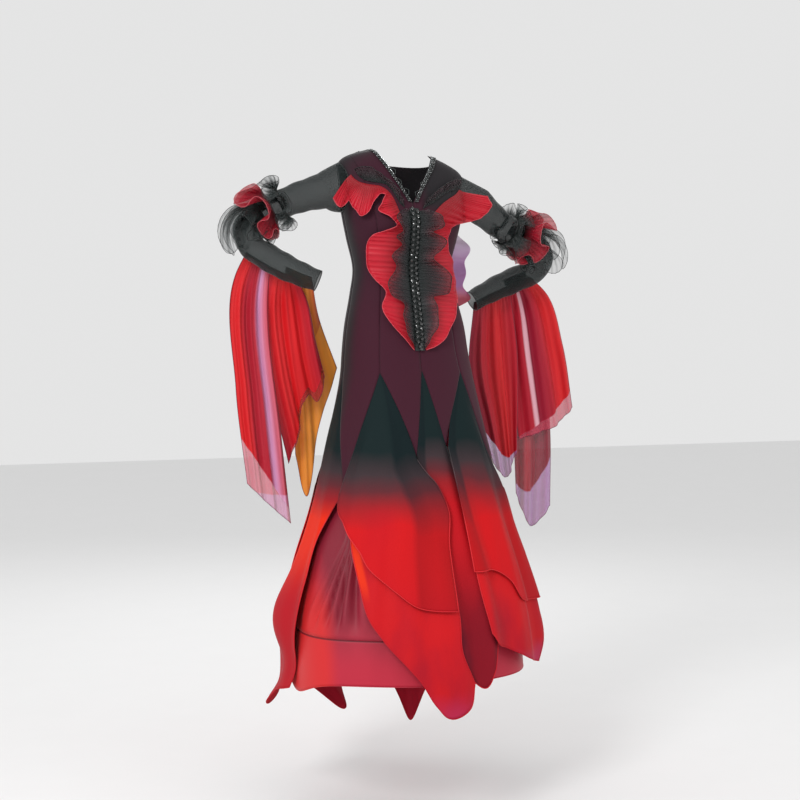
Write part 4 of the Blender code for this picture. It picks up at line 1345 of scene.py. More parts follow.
        def sewn(u: float, share: float) -> Triple:
            left = self.bodice.godet_seam(name, False, share)
            right = self.bodice.godet_seam(name, True, share)
            for side in (left, right):
                side[0] = unwrap([tuple(side)])[0][0]
            z = left[1] + (right[1] - left[1]) * u
            rise = FORM.layer_offset(layer, z)
            lift = lambda inside: rise * max(ramp(share, 0.55, 1.0), ramp(inside, 0.0, 0.045))
            return self.bodice.sewn_point(left, right, u, lift)

        def free(u: float, share: float) -> Triple:
            left, right = left_line.at(share), right_line.at(share)
            drop = hem_line.at(u) - (start + (end - start) * u)
            angle, z = left + (right - left) * u + drop * share**1.6
            off = FORM.layer_offset(layer, z)
            off += flare * bell(z, -1.18, 0.09) * ramp(u, 0.25, 0.60) * ramp(1.0 - u, 0.0, 0.35)
            if flare:
                outer = ramp(angle, 252.0, 262.0)
                off -= 0.016 * bell(z, -1.31, 0.055) * outer
                off += 0.030 * ramp(z, -1.36, -1.43) * outer
            edge = max(share**3, abs(2 * u - 1) ** 8 * share)
            off += self.flutter * edge * (0.5 + 0.5 * math.sin(0.19 * angle + 9 * z))
            return FORM.surface(angle, z, off)

        def place(u: float, v: float) -> Triple:
            if v <= self.sewn_share:
                return sewn(u, max(v / self.sewn_share, self.apex_share))
            return free(u, (v - self.sewn_share) / (1.0 - self.sewn_share))

        node = "godet_" + name
        self.tailor.cloth(node, 46, 96, place, finish, "godet_chiffon", cut)
        self.rolled_hem(node, place, self.sewn_share)

    def petal(self, name: str, finish: PetalChiffon, cut: Cut) -> None:
        """One long petal.

        Args:
            name: Name of the node.
            finish: Its finish.
            cut: Its flat size.
        """
        left_points, right_points, hem, layer, tuck = self.petals[name]
        left_line = Line.through(left_points, SKIRT_PATH)
        right_line = Line.through(right_points, SKIRT_PATH)
        hem_line = Line.through(hem, SKIRT_PATH)
        start, end = left_line.at(1.0), right_line.at(1.0)

        def place(u: float, v: float) -> Triple:
            left, right = left_line.at(v), right_line.at(v)
            drop = hem_line.at(u) - (start * (1 - u) + end * u)
            angle, z = left + (right - left) * u + drop * v**2
            off = FORM.layer_offset(layer, z) - tuck * max(0.0, self.tuck_start - z)
            edge = max(v**4, abs(2 * u - 1) ** 8 * v)
            off += self.flutter * 0.7 * edge * (0.5 + 0.5 * math.sin(0.23 * angle - 8 * z))
            return FORM.surface(angle, z, off)

        self.tailor.cloth(name, 44, 84, place, finish, "petal_chiffon", cut)
        self.rolled_hem(name, place, 0.0)

    def rolled_hem(self, node: str, place: Place, start: float) -> None:
        """Rolled hem round the free edges of a layer.

        Args:
            node: Node that the layer stands for.
            place: Point at a share across and down.
            start: Share down where the free edges start.
        """
        down = [start + (1.0 - start) * k / 60 for k in range(61)]
        points = [place(0.0, v) for v in down]
        points += [place(k / 60, 1.0) for k in range(1, 60)]
        points += [place(1.0, v) for v in reversed(down)]
        slot = "petal_chiffon" if node.startswith("petal") else "godet_chiffon"
        self.tailor.edge_cord(node + "_hem", points, self.hem_radius, self.highlit_hem_dye, slot)

    def build(self) -> None:
        """Make every layer of the skirt."""
        # The shade stops of the three front godets paint shade beside their folds.
        lower = {
            "front_right": DipDye("dye_front_right", -0.755, -0.905, shade=(
                (0.0, 0.25), (0.06, 0.0), (0.64, 0.0), (0.715, 0.10), (0.77, 0.80), (0.90, 0.50),
                (1.0, 0.65))),
            "front_centre": DipDye("dye_front_centre", -0.735, -0.860, red=(0.500, 0.006, 0.012),
                                   deep=(0.090, 0.004, 0.014), deep_height=-1.22, patch=0.5,
                                   shade=((0.0, 0.7), (0.25, 0.8), (0.32, 0.0), (0.80, 0.0),
                                          (1.0, 0.5))),
            "front_left": DipDye("dye_front_left", -0.745, -0.880, patch=0.25, shade=(
                (0.0, 0.55), (0.09, 0.75), (0.13, 0.0), (0.52, 0.0), (0.60, 0.45), (1.0, 0.65))),
            "side_right": DipDye("dye_side_right", -0.765, -0.895, red=(0.740, 0.024, 0.006),
                                 deep=(0.300, 0.005, 0.024), deep_height=-1.16),
        }
        cuts = {
            "front_right": Cut(0.36, 0.58, Held.HUNG, 0.107),
            "front_centre": Cut(0.22, 0.78, Held.HUNG, 0.099),
            "front_left": Cut(0.36, 0.60, Held.HUNG, 0.105),
        }
        for name in self.free_edges:
            finish = lower.get(name, DipDye("dye_hidden_sides", -0.745, -0.880))
            self.godet(name, finish, cuts.get(name, Cut(0.38, 0.80, Held.HUNG, 0.165)))
        tip = PetalChiffon("petal_front_right", strip_width=0.13)
        mauve = PetalChiffon("petal_front_left", tip=(0.330, 0.060, 0.160), tip_height=-1.25,
                             end_height=-1.31, tip_share=0.45)
        dark = PetalChiffon("petal_back", (0.520, 0.010, 0.030), (0.340, 0.008, 0.026),
                            (0.400, 0.012, 0.030))
        self.petal("petal_front_right", tip, Cut(0.33, 0.55, Held.HUNG, 0.112))
        self.petal("petal_front_left", mauve, Cut(0.34, 0.46, Held.HUNG, 0.109))
        self.petal("petal_back_left", dark, Cut(0.26, 0.68, Held.HUNG, 0.126))
        self.petal("petal_back_right", dark, Cut(0.26, 0.64, Held.HUNG, 0.120))


@dataclass
class Underskirt:
    """Satin underskirt with its hem band."""

    tailor: Tailor
    ease: float = 0.028
    waist_ease: float = 0.0041
    top: float = -0.545
    band_top: float = -1.214
    hem: float = -1.325
    fan_angle: float = -47.0
    fan_top: float = -0.90
    # angle at the band, width in degrees and depth of the folds that fan from the slit
    fan: tuple = (
        (-74, 3.0, 0.0060), (-69, 2.2, -0.0080), (-64, 2.4, 0.0100), (-59.5, 1.5, -0.0120),
        (-55, 2.2, 0.0110), (-51, 1.3, -0.0110), (-46.5, 2.2, 0.0100), (-40, 2.4, -0.0080),
        (-33, 3.4, 0.0070))
    hem_dip: float = 0.040
    dip_angle: float = -82.0
    dip_width: float = 18.0
    hem_points: int = 240
    satin: Satin = Satin()

    def crease(self, angle: float, z: float) -> float:
        """Depth of the satin's own folds.

        Args:
            angle: Angle round the body.
            z: Height.

        Returns:
            The depth in metres.
        """
        share = ramp(z, self.fan_top, self.fan_top - 0.05)
        reach = min(max((self.fan_top - z) / (self.fan_top - self.band_top), 0.25), 1.0)
        fade = share * (1.0 - ramp(z, self.band_top + 0.07, self.band_top + 0.005))
        depth = 0.0
        for at_band, width, size in self.fan:
            middle = self.fan_angle + (at_band - self.fan_angle) * reach
            depth += size * bell(angle, middle, width * (0.6 + 0.4 * reach))
        a = math.radians(angle)
        around = 0.0022 * math.sin(31 * a + 1.5 * math.sin(6 * z)) + 0.0016 * math.sin(53 * a)
        hidden = ramp(abs(angle + 47.0), 26.0, 36.0)
        low = 1.0 - ramp(z, self.band_top + 0.06, self.band_top)
        around *= hidden * ramp(z, -0.62, -0.90) * low
        soft = 0.0030 * math.sin(7 * a + 2.0) * ramp(z, -1.10, -1.30)
        return depth * fade + around + soft

    @staticmethod
    def slit_fill(angle: float, z: float) -> float:
        """How far the satin swells out in the slit."""
        return 0.020 * bell(angle, -70.0, 24.0) * ramp(z, -0.85, -1.00)

    def dip(self, angle: float) -> float:
        """How much lower the hem hangs at an angle."""
        return self.hem_dip * bell(half_turn(angle - self.dip_angle), 0.0, self.dip_width)

    def point(self, angle: float, z: float) -> Triple:
        """Point of the satin at an angle and a height."""
        near = half_turn(angle)
        ease = self.waist_ease + (self.ease - self.waist_ease) * ramp(z, -0.60, -1.00)
        ease -= self.slit_fill(near, z)
        return FORM.surface(angle, z, self.crease(near, z) - ease, folded=False)

    def ring(self, node: str, top: float, bottom: float, rows: int, cut: Cut) -> None:
        """One ring of satin.

        Args:
            node: Name of the node.
            top: Height of its upper edge.
            bottom: Height of its lower edge.
            rows: Faces down.
            cut: Its flat size.
        """
        def place(u: float, v: float) -> Triple:
            angle = -90.0 + 360.0 * u
            drop = self.dip(angle) * v if bottom == self.hem else 0.0
            return self.point(angle, top + (bottom - top) * v - drop)

        self.tailor.cloth(node, 300, rows, place, self.satin, "underskirt_satin", cut, closed=True)

    def build(self) -> None:
        """Make the two rings and the hem edge."""
        self.ring("underskirt", self.top, self.band_top + 0.0003, 64,
                  Cut(1.95, 0.70, Held.HUNG, 0.95))
        self.ring("underskirt_hem_band", self.band_top - 0.0003, self.hem, 16,
                  Cut(2.0, 0.125, Held.HUNG))
        angles = [-90.0 + 360.0 * k / self.hem_points for k in range(self.hem_points)]
        points = [self.point(angle, self.hem - self.dip(angle)) for angle in angles]
        self.tailor.edge_cord("underskirt_hem_edge", points, 0.0011, self.satin,
                              "underskirt_satin", closed=True)


class Arm:
    """Middle line and frames of one arm, from the upper arm to the cuff."""

    tables = {
        "right": (
            (-0.230, 0.000, -0.101, 0.045), (-0.287, 0.004, -0.117, 0.039),
            (-0.343, 0.010, -0.140, 0.036), (-0.392, 0.020, -0.168, 0.034),
            (-0.422, 0.025, -0.201, 0.033), (-0.410, 0.020, -0.239, 0.033),
            (-0.372, 0.000, -0.269, 0.034), (-0.315, -0.020, -0.302, 0.031),
            (-0.254, -0.045, -0.329, 0.027)),
        "left": (
            (0.188, 0.000, -0.126, 0.046), (0.242, 0.010, -0.166, 0.039),
            (0.302, 0.030, -0.199, 0.036), (0.362, 0.050, -0.224, 0.034),
            (0.400, 0.065, -0.256, 0.033), (0.392, 0.080, -0.293, 0.033),
            (0.342, 0.085, -0.318, 0.034), (0.278, 0.085, -0.345, 0.031),
            (0.207, 0.080, -0.380, 0.027)),
    }
    steps = 1920

    def __init__(self, side: str, bodice: Bodice) -> None:
        """Fit the arm of one side."""
        self.side = SIDE[side]
        self.bodice = bodice
        rows = self.tables[side]
        points = np.array([row[:3] for row in rows])
        self.length = float(np.linalg.norm(np.diff(points, axis=0), axis=1).sum())
        self.path = Line.through([row[:3] for row in rows])
        self.radii = Line(np.linspace(0, 1, len(rows)), [row[3] for row in rows])
        self.frames = []
        top = np.array((0.0, 0.0, 1.0))
        for k in range(self.steps + 1):
            share = k / self.steps
            tangent = self.path.at(min(share + 0.01, 1.0)) - self.path.at(max(share - 0.01, 0.0))
            tangent /= np.linalg.norm(tangent)
            top = top - tangent * top.dot(tangent)
            top /= np.linalg.norm(top)
            front = np.cross(tangent, top) * self.side
            self.frames.append((self.path.at(share), tangent, top, front))

    def frame(self, share: float) -> tuple:
        """Middle, tangent, top and front directions at a share of the arm."""
        return self.frames[int(round(min(max(share, 0.0), 1.0) * self.steps))]

    def point(self, share: float, turn: float, off: float = 0.0, shift: float = 0.0) -> np.ndarray:
        """Point round the sleeve.

        Args:
            share: Share of the way down the arm.
            turn: Degrees from the top over the front.
            off: Distance out from the sleeve.
            shift: Distance along the arm.

        Returns:
            The point.
        """
        centre, tangent, top, front = self.frame(share)
        radius = float(self.radii.at(share)[0]) + off
        c, s = math.cos(math.radians(turn)), math.sin(math.radians(turn))
        return centre + radius * (top * c + front * s) + tangent * shift

    def behind(self, share: float, off: float, below: float) -> np.ndarray:
        """Point at the back of the sleeve, some degrees below its middle."""
        centre, tangent = self.frame(share)[:2]
        back = np.array((0.0, 1.0, 0.0)) - tangent * tangent[1]
        back /= np.linalg.norm(back)
        down = np.cross(tangent, back)
        down *= -math.copysign(1.0, down[2])
        radius = float(self.radii.at(share)[0]) + off
        c, s = math.cos(math.radians(below)), math.sin(math.radians(below))
        return centre + radius * (back * c + down * s)

    def armhole(self, turn: float) -> np.ndarray:
        """Point of the armhole edge, just off the panels along the arm."""
        share = turn / 180.0 if turn <= 180.0 else (360.0 - turn) / 180.0
        away, z = self.bodice.armhole_line.at(share)
        angle = 90.0 - away if turn <= 180.0 else 90.0 + away
        start = np.array(FORM.surface(self.side * angle, z))
        return start + np.array((self.side * 0.0008, 0.0, -0.0006))


@dataclass
class Sleeves:
    """Two sheer sleeves with three looped frills each."""

    tailor: Tailor
    arms: dict
    cap_share: float = 0.13
    # place along the sleeve, height, loops, swing along the arm, swing round it, smallest share,
    # turn in degrees where it is largest, how far its edge leans down the arm
    frills: tuple = (
        ("black_upper", 0.24, 0.046, 6, 0.024, 0.015, 0.50, 40.0, 0.010),
        ("red", 0.30, 0.054, 6, 0.026, 0.015, 0.45, 70.0, 0.036),
        ("black_lower", 0.36, 0.049, 6, 0.030, 0.017, 0.27, 95.0, 0.066),
    )
    stagger: float = 9.0
    droop: float = 0.006
    frill_pleats: int = 112
    mesh: SheerMesh = SheerMesh()
    black: Organza = Organza("black_organza_elbow", (0.005, 0.009, 0.008), (0.060, 0.072, 0.072),
                             0.92, 0.13, 75.0, 0.6, 0.1)
    red: Organza = Organza("red_organza_elbow", (0.080, 0.002, 0.006), (0.420, 0.006, 0.024),
                           0.96, 0.50, 75.0, 0.5, 0.1)
    black_edge: Plain = Plain("black_edge", (0.008, 0.010, 0.010), 0.5)
    red_edge: Plain = Plain("rose_edge", (0.520, 0.090, 0.110), 0.5)

    def sleeve(self, side: str) -> None:
        """One sleeve from the armhole to the cuff."""
        arm = self.arms[side]
        shoulder = sum(arm.armhole(turn) for turn in range(0, 360, 10)) / 36
        start = arm.path.at(0.0)

        def place(u: float, v: float) -> np.ndarray:
            turn = 360.0 * u
            if v < self.cap_share:
                t = v / self.cap_share
                bow = (start - shoulder) * 0.5 * t * (1.0 - t)
                return arm.armhole(turn) * (1.0 - t) + arm.point(0.0, turn) * t + bow
            share = (v - self.cap_share) / (1.0 - self.cap_share)
            inner = 0.5 - 0.5 * math.cos(math.radians(turn))
            crease = 0.0022 * bell(share, 0.47, 0.09) * inner * math.sin(math.tau * share / 0.034)
            slack = 0.0010 * math.sin(math.tau * share * 9 + 2.5 * math.sin(math.radians(turn)))
            return arm.point(share, turn, crease + slack * ramp(share, 0.0, 0.1))

        self.tailor.cloth("sleeve_" + side, 48, 130, place, self.mesh, "sheer_mesh",
                          Cut(0.26, 0.52, Held.STRETCHED, 0.125), closed=True)
        seam = [arm.armhole(5.0 * k) for k in range(72)]
        self.tailor.edge_cord("armhole_seam_" + side, seam, 0.0013, self.black_edge, "sheer_mesh",
                              closed=True)
        cuff = [arm.point(1.0, 360.0 * k / 72, 0.0002) for k in range(72)]
        self.tailor.edge_cord("sleeve_cuff_" + side, cuff, 0.0011, self.black_edge, "sheer_mesh",
                              closed=True)

    def frill(self, side: str, label: str, share: float, height: float, loops: int, swing: float,
              round_swing: float, least: float, toward: float, lean: float) -> None:
        """One looped frill round the sleeve at the elbow.

        Args:
            side: Which arm.
            label: Its name.
            share: Its place along the sleeve.
            height: How far it stands out.
            loops: Number of loops.
            swing: How far its edge swings along the arm.
            round_swing: How far its edge swings round the arm.
            least: Share of the height where it is smallest.
            toward: Turn in degrees where it is largest.
            lean: How far its edge leans down the arm.
        """
        arm = self.arms[side]
        radius = float(arm.radii.at(share)[0])

        def place(u: float, v: float) -> np.ndarray:
            phase = math.tau * loops * u + 0.5 * math.sin(math.tau * 2 * u)
            phase += self.stagger * share
            turn = 360.0 * u
            front = max(0.0, math.sin(math.radians(turn - 20.0)))
            level = (0.5 + 0.5 * math.cos(math.radians(turn - toward))) ** 0.8
            size = height * (least + (1.0 - least) * level)
            size *= 1.0 + 0.14 * math.sin(math.tau * 2 * u + share * 40)
            bend = math.sin(0.5 * math.pi * v)
            wave = swing * math.sin(phase) * bend * v**0.4
            sweep = math.degrees(-round_swing * math.sin(2 * phase) * v**1.3 / (radius + size * v))
            rise = math.sqrt(max((size * v) ** 2 - wave**2, (0.55 * size * v) ** 2))
            pleat = 0.0008 * math.sin(math.tau * self.frill_pleats * u) * ramp(v, 0.0, 0.25)
            down = share + (wave + lean * v) / arm.length
            point = arm.point(down, turn + sweep, 0.0012 + rise, pleat)
            return point - np.array((0.0, 0.0, self.droop * front * v**1.6))

        node = f"elbow_frill_{label}_{side}"
        dark = label.startswith("black")
        finish, edge = (self.black, self.black_edge) if dark else (self.red, self.red_edge)
        slot = "black_organza" if dark else "red_organza"
        self.tailor.cloth(node, 450, 8, place, finish, slot,
                          Cut(0.50, height + 0.6 * lean, Held.GATHERED), closed=True, wall=0.0004)
        rim = [place(k / 300, 1.0) for k in range(300)]
        self.tailor.edge_cord(node + "_edge", rim, 0.0007, edge, slot, closed=True, sides=4)

    def build(self) -> None:
        """Make both sleeves."""
        for side in SIDE:
            self.sleeve(side)
            for row in self.frills:
                self.frill(side, *row)


@dataclass
class FrontFrills:
    """Red and black frills down both sides of the front and over the shoulders."""

    tailor: Tailor
    rows: int = 14
    # millimetres: seam out, seam height, edge out, edge height, how far the edge stands off
    red_right: tuple = (
        (14, -500, 16, -503, 3), (15, -485, 51, -460, 7), (15, -453, 78, -425, 8),
        (15, -407, 87, -390, 9), (15, -369, 75, -354, 8), (15, -334, 98, -324, 9),
        (15, -296, 111, -289, 11), (16, -256, 115, -248, 11), (23, -222, 107, -219, 10),
        (27, -198, 78, -207, 8), (32, -179, 49, -192, 6), (38, -159, 66, -173, 8),
        (43, -143, 92, -158, 12), (47, -131, 82, -138, 12), (55, -116, 73, -121, 8),
        (66, -105, 83, -118, 8), (80, -98, 98, -132, 12), (93, -97, 114, -159, 16),
        (107, -96, 131, -173, 18), (118, -94, 144, -157, 18), (126, -92, 156, -138, 18),
        (133, -88, 171, -150, 24), (139, -82, 188, -153, 32), (144, -75, 202, -134, 38))
    red_left: tuple = (
        (14, -500, 16, -503, 3), (15, -478, 54, -486, 7), (17, -440, 86, -448, 8),
        (19, -395, 112, -402, 9), (20, -352, 122, -362, 9), (20, -314, 124, -323, 9),
        (20, -281, 116, -279, 9), (20, -250, 92, -244, 9), (22, -221, 91, -210, 9),
        (27, -195, 100, -190, 10), (36, -175, 116, -181, 13), (50, -158, 144, -174, 20),
        (66, -142, 166, -168, 26), (84, -126, 186, -160, 32), (104, -112, 202, -145, 38),
        (126, -98, 214, -127, 42), (140, -84, 206, -100, 42))
    black_right: tuple = (
        (10, -490, 12, -499, 5), (10, -468, 32, -462, 12), (10, -432, 40, -422, 14),
        (10, -397, 37, -385, 14), (10, -369, 67, -362, 19), (10, -342, 68, -329, 20),
        (10, -306, 46, -292, 16), (10, -281, 60, -267, 19), (10, -251, 37, -240, 15),
        (10, -227, 51, -219, 18), (10, -207, 34, -204, 14), (10, -188, 50, -180, 16),
        (10, -170, 46, -163, 13), (11, -156, 22, -150, 8))
    black_left: tuple = (
        (10, -491, 12, -499, 5), (10, -463, 28, -470, 11), (10, -433, 46, -440, 15),
        (10, -402, 50, -400, 16), (10, -372, 43, -369, 15), (10, -347, 84, -359, 20),
        (10, -316, 100, -326, 22), (10, -296, 88, -301, 20), (10, -271, 47, -273, 15),
        (10, -246, 67, -250, 18), (10, -226, 80, -224, 19), (10, -206, 40, -206, 14),
        (10, -188, 66, -193, 18), (10, -176, 70, -176, 18), (10, -164, 62, -160, 15),
        (11, -154, 34, -148, 8))
    shoulder_right: tuple = (
        (24, -148, 26, -136, 5), (34, -138, 34, -116, 8), (43, -123, 43, -96, 8),
        (53, -106, 64, -78, 8), (64, -94, 84, -64, 8), (80, -91, 100, -54, 8),
        (100, -90, 118, -54, 8), (114, -87, 131, -58, 8), (126, -80, 139, -63, 7))
    shoulder_left: tuple = (
        (24, -148, 30, -130, 5), (38, -138, 48, -112, 8), (56, -128, 66, -96, 8),
        (76, -114, 92, -78, 8), (96, -99, 118, -63, 8), (122, -88, 138, -58, 8),
        (144, -77, 152, -62, 7))
    red: Organza = Organza("red_organza", (0.280, 0.004, 0.010), (0.560, 0.007, 0.024), 0.97, 0.84,
                           70.0, 0.22, 0.1)
    black: Organza = Organza("black_organza", (0.006, 0.011, 0.011), (0.050, 0.030, 0.036), 0.82,
                             0.40, 50.0, 0.55, 0.05)
    rose_cord: Plain = Plain("rose_cord", (0.680, 0.060, 0.085), 0.45)
    black_cord: Plain = Plain("black_cord", (0.010, 0.010, 0.011), 0.5)

    def frill(self, node: str, rows: tuple, side: int, columns: int, seam_off: float, curl: float,
              waves: int, depth: float, pleats: int, finish: Organza, edge: Plain, slot: str,
              cut: Cut) -> None:
        """One gathered frill from its seam to its free edge.

        Args:
            node: Name of the node.
            rows: Its table.
            side: -1 for the wearer's right, 1 for the left.
            columns: Faces along it.
            seam_off: Distance of its seam from the form.
            curl: How late the edge lifts.
            waves: Waves along it.
            depth: Depth of a wave.
            pleats: Fine raised pleats along it; the black organza has them in its finish alone.
            finish: Its finish.
            edge: Finish of its edge cord.
            slot: The record's material slot.
            cut: Its flat size.
        """
        data = np.array(rows, float) / 1000.0
        lines = Line(np.linspace(0.0, 1.0, len(data)), data)

        def place(u: float, v: float) -> Triple:
            seam_out, seam_z, edge_out, edge_z, lift = lines.at(u)
            out = seam_out + (edge_out - seam_out) * v
            z = seam_z + (edge_z - seam_z) * v
            reach = min(out, 0.93 * FORM.profile.at(-z)[1])
            ends = ramp(min(u, 1.0 - u), 0.0, 0.04)
            wave = depth * math.sin(math.tau * waves * u) * ends
            pleat = 0.0006 * math.sin(math.tau * pleats * u) * ends * ramp(v, 0.0, 0.25)
            roll = 0.0030 * ramp(v, 0.80, 1.0) * ends
            x, y, height = FORM.surface(FORM.angle_at(side * reach, z), z, seam_off)
            rise = (lift + wave) * v**curl + pleat + roll
            return x + side * (out - reach), y - rise, height

        self.tailor.cloth(node, columns, self.rows, place, finish, slot, cut, wall=0.0004)
        rim = [place(k / columns, 1.0) for k in range(columns + 1)]
        self.tailor.edge_cord(node + "_edge", rim, 0.0009, edge, slot)

    def build(self) -> None:
        """Make the six frills."""
        red = (self.red, self.rose_cord, "red_organza")
        black = (self.black, self.black_cord, "black_organza")
        self.frill("red_frill_right", self.red_right, -1, 440, 0.0027, 1.4, 15, 0.0035, 70, *red,
                   Cut(0.56, 0.074, Held.GATHERED))
        self.frill("red_frill_left", self.red_left, 1, 440, 0.0027, 1.4, 14, 0.0035, 70, *red,
                   Cut(0.60, 0.084, Held.GATHERED))
        self.frill("black_frill_right", self.black_right, -1, 320, 0.0039, 1.0, 10, 0.004, 0,
                   *black, Cut(0.42, 0.040, Held.GATHERED))
        self.frill("black_frill_left", self.black_left, 1, 320, 0.0039, 1.0, 10, 0.004, 0,
                   *black, Cut(0.48, 0.048, Held.GATHERED))
        self.frill("black_shoulder_frill_right", self.shoulder_right, -1, 200, 0.0021, 1.2, 7,
                   0.004, 0, *black, Cut(0.16, 0.028, Held.GATHERED))
        self.frill("black_shoulder_frill_left", self.shoulder_left, 1, 200, 0.0021, 1.2, 7, 0.004,
                   0, *black, Cut(0.16, 0.028, Held.GATHERED))


@dataclass
class BackFlounce:
    """Mauve flounce sewn down the left of the back."""

    tailor: Tailor
    top: float = -0.185
    length: float = 0.215
    bands: tuple = (
        (0.0, (0.86, 0.80, 0.84)), (0.22, (0.72, 0.52, 0.74)), (0.45, (0.46, 0.20, 0.46)),
        (0.70, (0.40, 0.16, 0.42)), (0.86, (0.62, 0.12, 0.18)), (1.0, (0.60, 0.06, 0.10)))

    def build(self) -> None:
        """Make the flounce."""
        edge = Line([0, 0.2, 0.45, 0.7, 0.88, 1.0],
                    [(0.015,), (0.072,), (0.082,), (0.070,), (0.078,), (0.020,)])

        def place(u: float, v: float) -> Triple:
            z = self.top - self.length * u
            angle = 120.0 + 2.0 * u
            wave = 2.6 * math.sin(math.tau * 3 * u)
            return FORM.surface(angle - 12.0 * v + wave * v, z, 0.0016 + float(edge.at(u)[0]) * v)

        finish = FloatChiffon("flounce_chiffon_mauve", self.bands, (0.5, 0.2, 0.5), hem_start=1.5,
                              cover=0.80)
        self.tailor.cloth("back_flounce_left", 150, 26, place, finish, "flounce_chiffon_mauve",
                          Cut(0.26, 0.085, Held.GATHERED), wall=0.0004)


@dataclass
class Floats:
    """Chiffon floats that hang from the backs of the forearms."""

    tailor: Tailor
    arms: dict
    # arm, start and end along it, distance off it, degrees below its back, left edge, right edge,
    # hem, depth of the pleats and their number
    table: dict = field(default_factory=lambda: {
        "float_right_outer": (
            "right", 0.58, 0.72, 0.0012, 20,
            [(-0.437, 0.060, -0.300), (-0.446, 0.045, -0.600), (-0.420, 0.035, -0.845)],
            [(-0.362, 0.040, -0.350), (-0.330, 0.030, -0.740), (-0.310, 0.020, -0.950)],
            [(-0.420, 0.035, -0.845), (-0.365, 0.028, -0.900), (-0.310, 0.020, -0.950)],
            0.006, 3),
        "float_right_inner": (
            "right", 0.725, 0.88, 0.0006, 20,
            [(-0.372, 0.052, -0.400), (-0.352, 0.052, -0.600), (-0.305, 0.060, -0.800)],
            [(-0.262, 0.028, -0.380), (-0.237, 0.042, -0.480), (-0.210, 0.052, -0.575)],
            [(-0.305, 0.060, -0.800), (-0.275, 0.060, -0.710), (-0.268, 0.060, -0.645),
             (-0.250, 0.057, -0.620), (-0.232, 0.055, -0.640), (-0.210, 0.052, -0.575)],
            0.006, 3),
        "float_right_under": (
            "right", 0.80, 0.95, 0.0009, -12,
            [(-0.315, 0.085, -0.400), (-0.285, 0.095, -0.600), (-0.278, 0.095, -0.780)],
            [(-0.215, 0.082, -0.430), (-0.165, 0.095, -0.555)],
            [(-0.278, 0.095, -0.780), (-0.250, 0.100, -0.890), (-0.212, 0.095, -0.700),
             (-0.165, 0.095, -0.555)],
            0.004, 2),
        "float_left_outer": (
            "left", 0.75, 0.63, 0.0012, 20,
            [(0.330, 0.122, -0.500), (0.346, 0.122, -0.760)],
            [(0.440, 0.117, -0.360), (0.490, 0.118, -0.500), (0.520, 0.118, -0.674)],
            [(0.361, 0.118, -0.760), (0.410, 0.118, -0.745), (0.463, 0.118, -0.728),
             (0.520, 0.118, -0.674)],
            0.006, 3),
        "float_left_middle": (
            "left", 0.76, 0.64, 0.0012, -12,
            [(0.345, 0.140, -0.400), (0.347, 0.142, -0.520), (0.362, 0.140, -0.910)],
            [(0.415, 0.138, -0.380), (0.430, 0.140, -0.480), (0.463, 0.140, -0.728),
             (0.464, 0.140, -0.948)],
            [(0.362, 0.140, -0.910), (0.410, 0.140, -1.005), (0.464, 0.140, -0.948)],
            0.006, 2),
        "float_left_inner": (
            "left", 0.97, 0.745, 0.0018, 20,
            [(0.214, 0.112, -0.575), (0.252, 0.112, -0.709), (0.282, 0.112, -0.822)],
            [(0.348, 0.106, -0.500), (0.350, 0.106, -0.782)],
            [(0.282, 0.108, -0.822), (0.316, 0.107, -0.862), (0.350, 0.106, -0.782)],
            0.005, 3),
    })
    edge: Plain = Plain("float_edge", (0.150, 0.012, 0.045), 0.5)

    def finishes(self) -> dict[str, tuple]:
        """Finish, flat size and slot of each float."""
        red, crimson, wine = (0.640, 0.006, 0.010), (0.420, 0.005, 0.022), (0.260, 0.003, 0.026)
        lilac, pink = (0.620, 0.300, 0.520), (0.640, 0.130, 0.190)
        mauve, orange = (0.420, 0.170, 0.420), (0.860, 0.300, 0.030)
        rust, pale = (0.620, 0.070, 0.015), (0.720, 0.380, 0.440)
        chiffon = FloatChiffon
        return {
            "float_right_outer": (
                chiffon("float_right_outer", (
                    (0.0, red), (0.25, red), (0.38, crimson), (0.62, crimson), (0.74, lilac),
                    (0.90, pink), (1.0, crimson)), pink, 0.87, hem_slant=-0.14, tip_start=0.955),
                Cut(0.22, 0.70, Held.HUNG, 0.094)),
            "float_right_inner": (
                chiffon("float_right_inner", (
                    (0.0, crimson), (0.2, red), (0.7, red), (1.0, crimson)), crimson, 0.95),
                Cut(0.20, 0.52, Held.HUNG, 0.057)),
            "float_right_under": (
                chiffon("float_right_under", (
                    (0.0, rust), (0.3, orange), (0.8, orange), (1.0, rust)), orange, 0.6,
                    cover=0.88, hem_cover=0.88),
                Cut(0.16, 0.55, Held.HUNG, 0.048)),
            "float_left_outer": (
                chiffon("float_left_outer", (
                    (0.0, crimson), (0.26, crimson), (0.30, pale), (0.36, pale), (0.40, wine),
                    (0.6, crimson), (0.8, red), (1.0, red)), (0.560, 0.060, 0.110), 0.93),
                Cut(0.24, 0.46, Held.HUNG, 0.073)),
            "float_left_middle": (
                chiffon("float_left_middle", (
                    (0.0, wine), (0.4, crimson), (0.7, wine), (1.0, wine)), mauve, 0.87,
                    cover=0.72, hem_slant=0.16),
                Cut(0.16, 0.66, Held.HUNG, 0.081)),
            "float_left_inner": (
                chiffon("float_left_inner", (
                    (0.0, wine), (0.2, crimson), (0.6, red), (1.0, crimson)), mauve, 0.90,
                    hem_slant=-0.20),
                Cut(0.18, 0.50, Held.HUNG, 0.062)),
        }

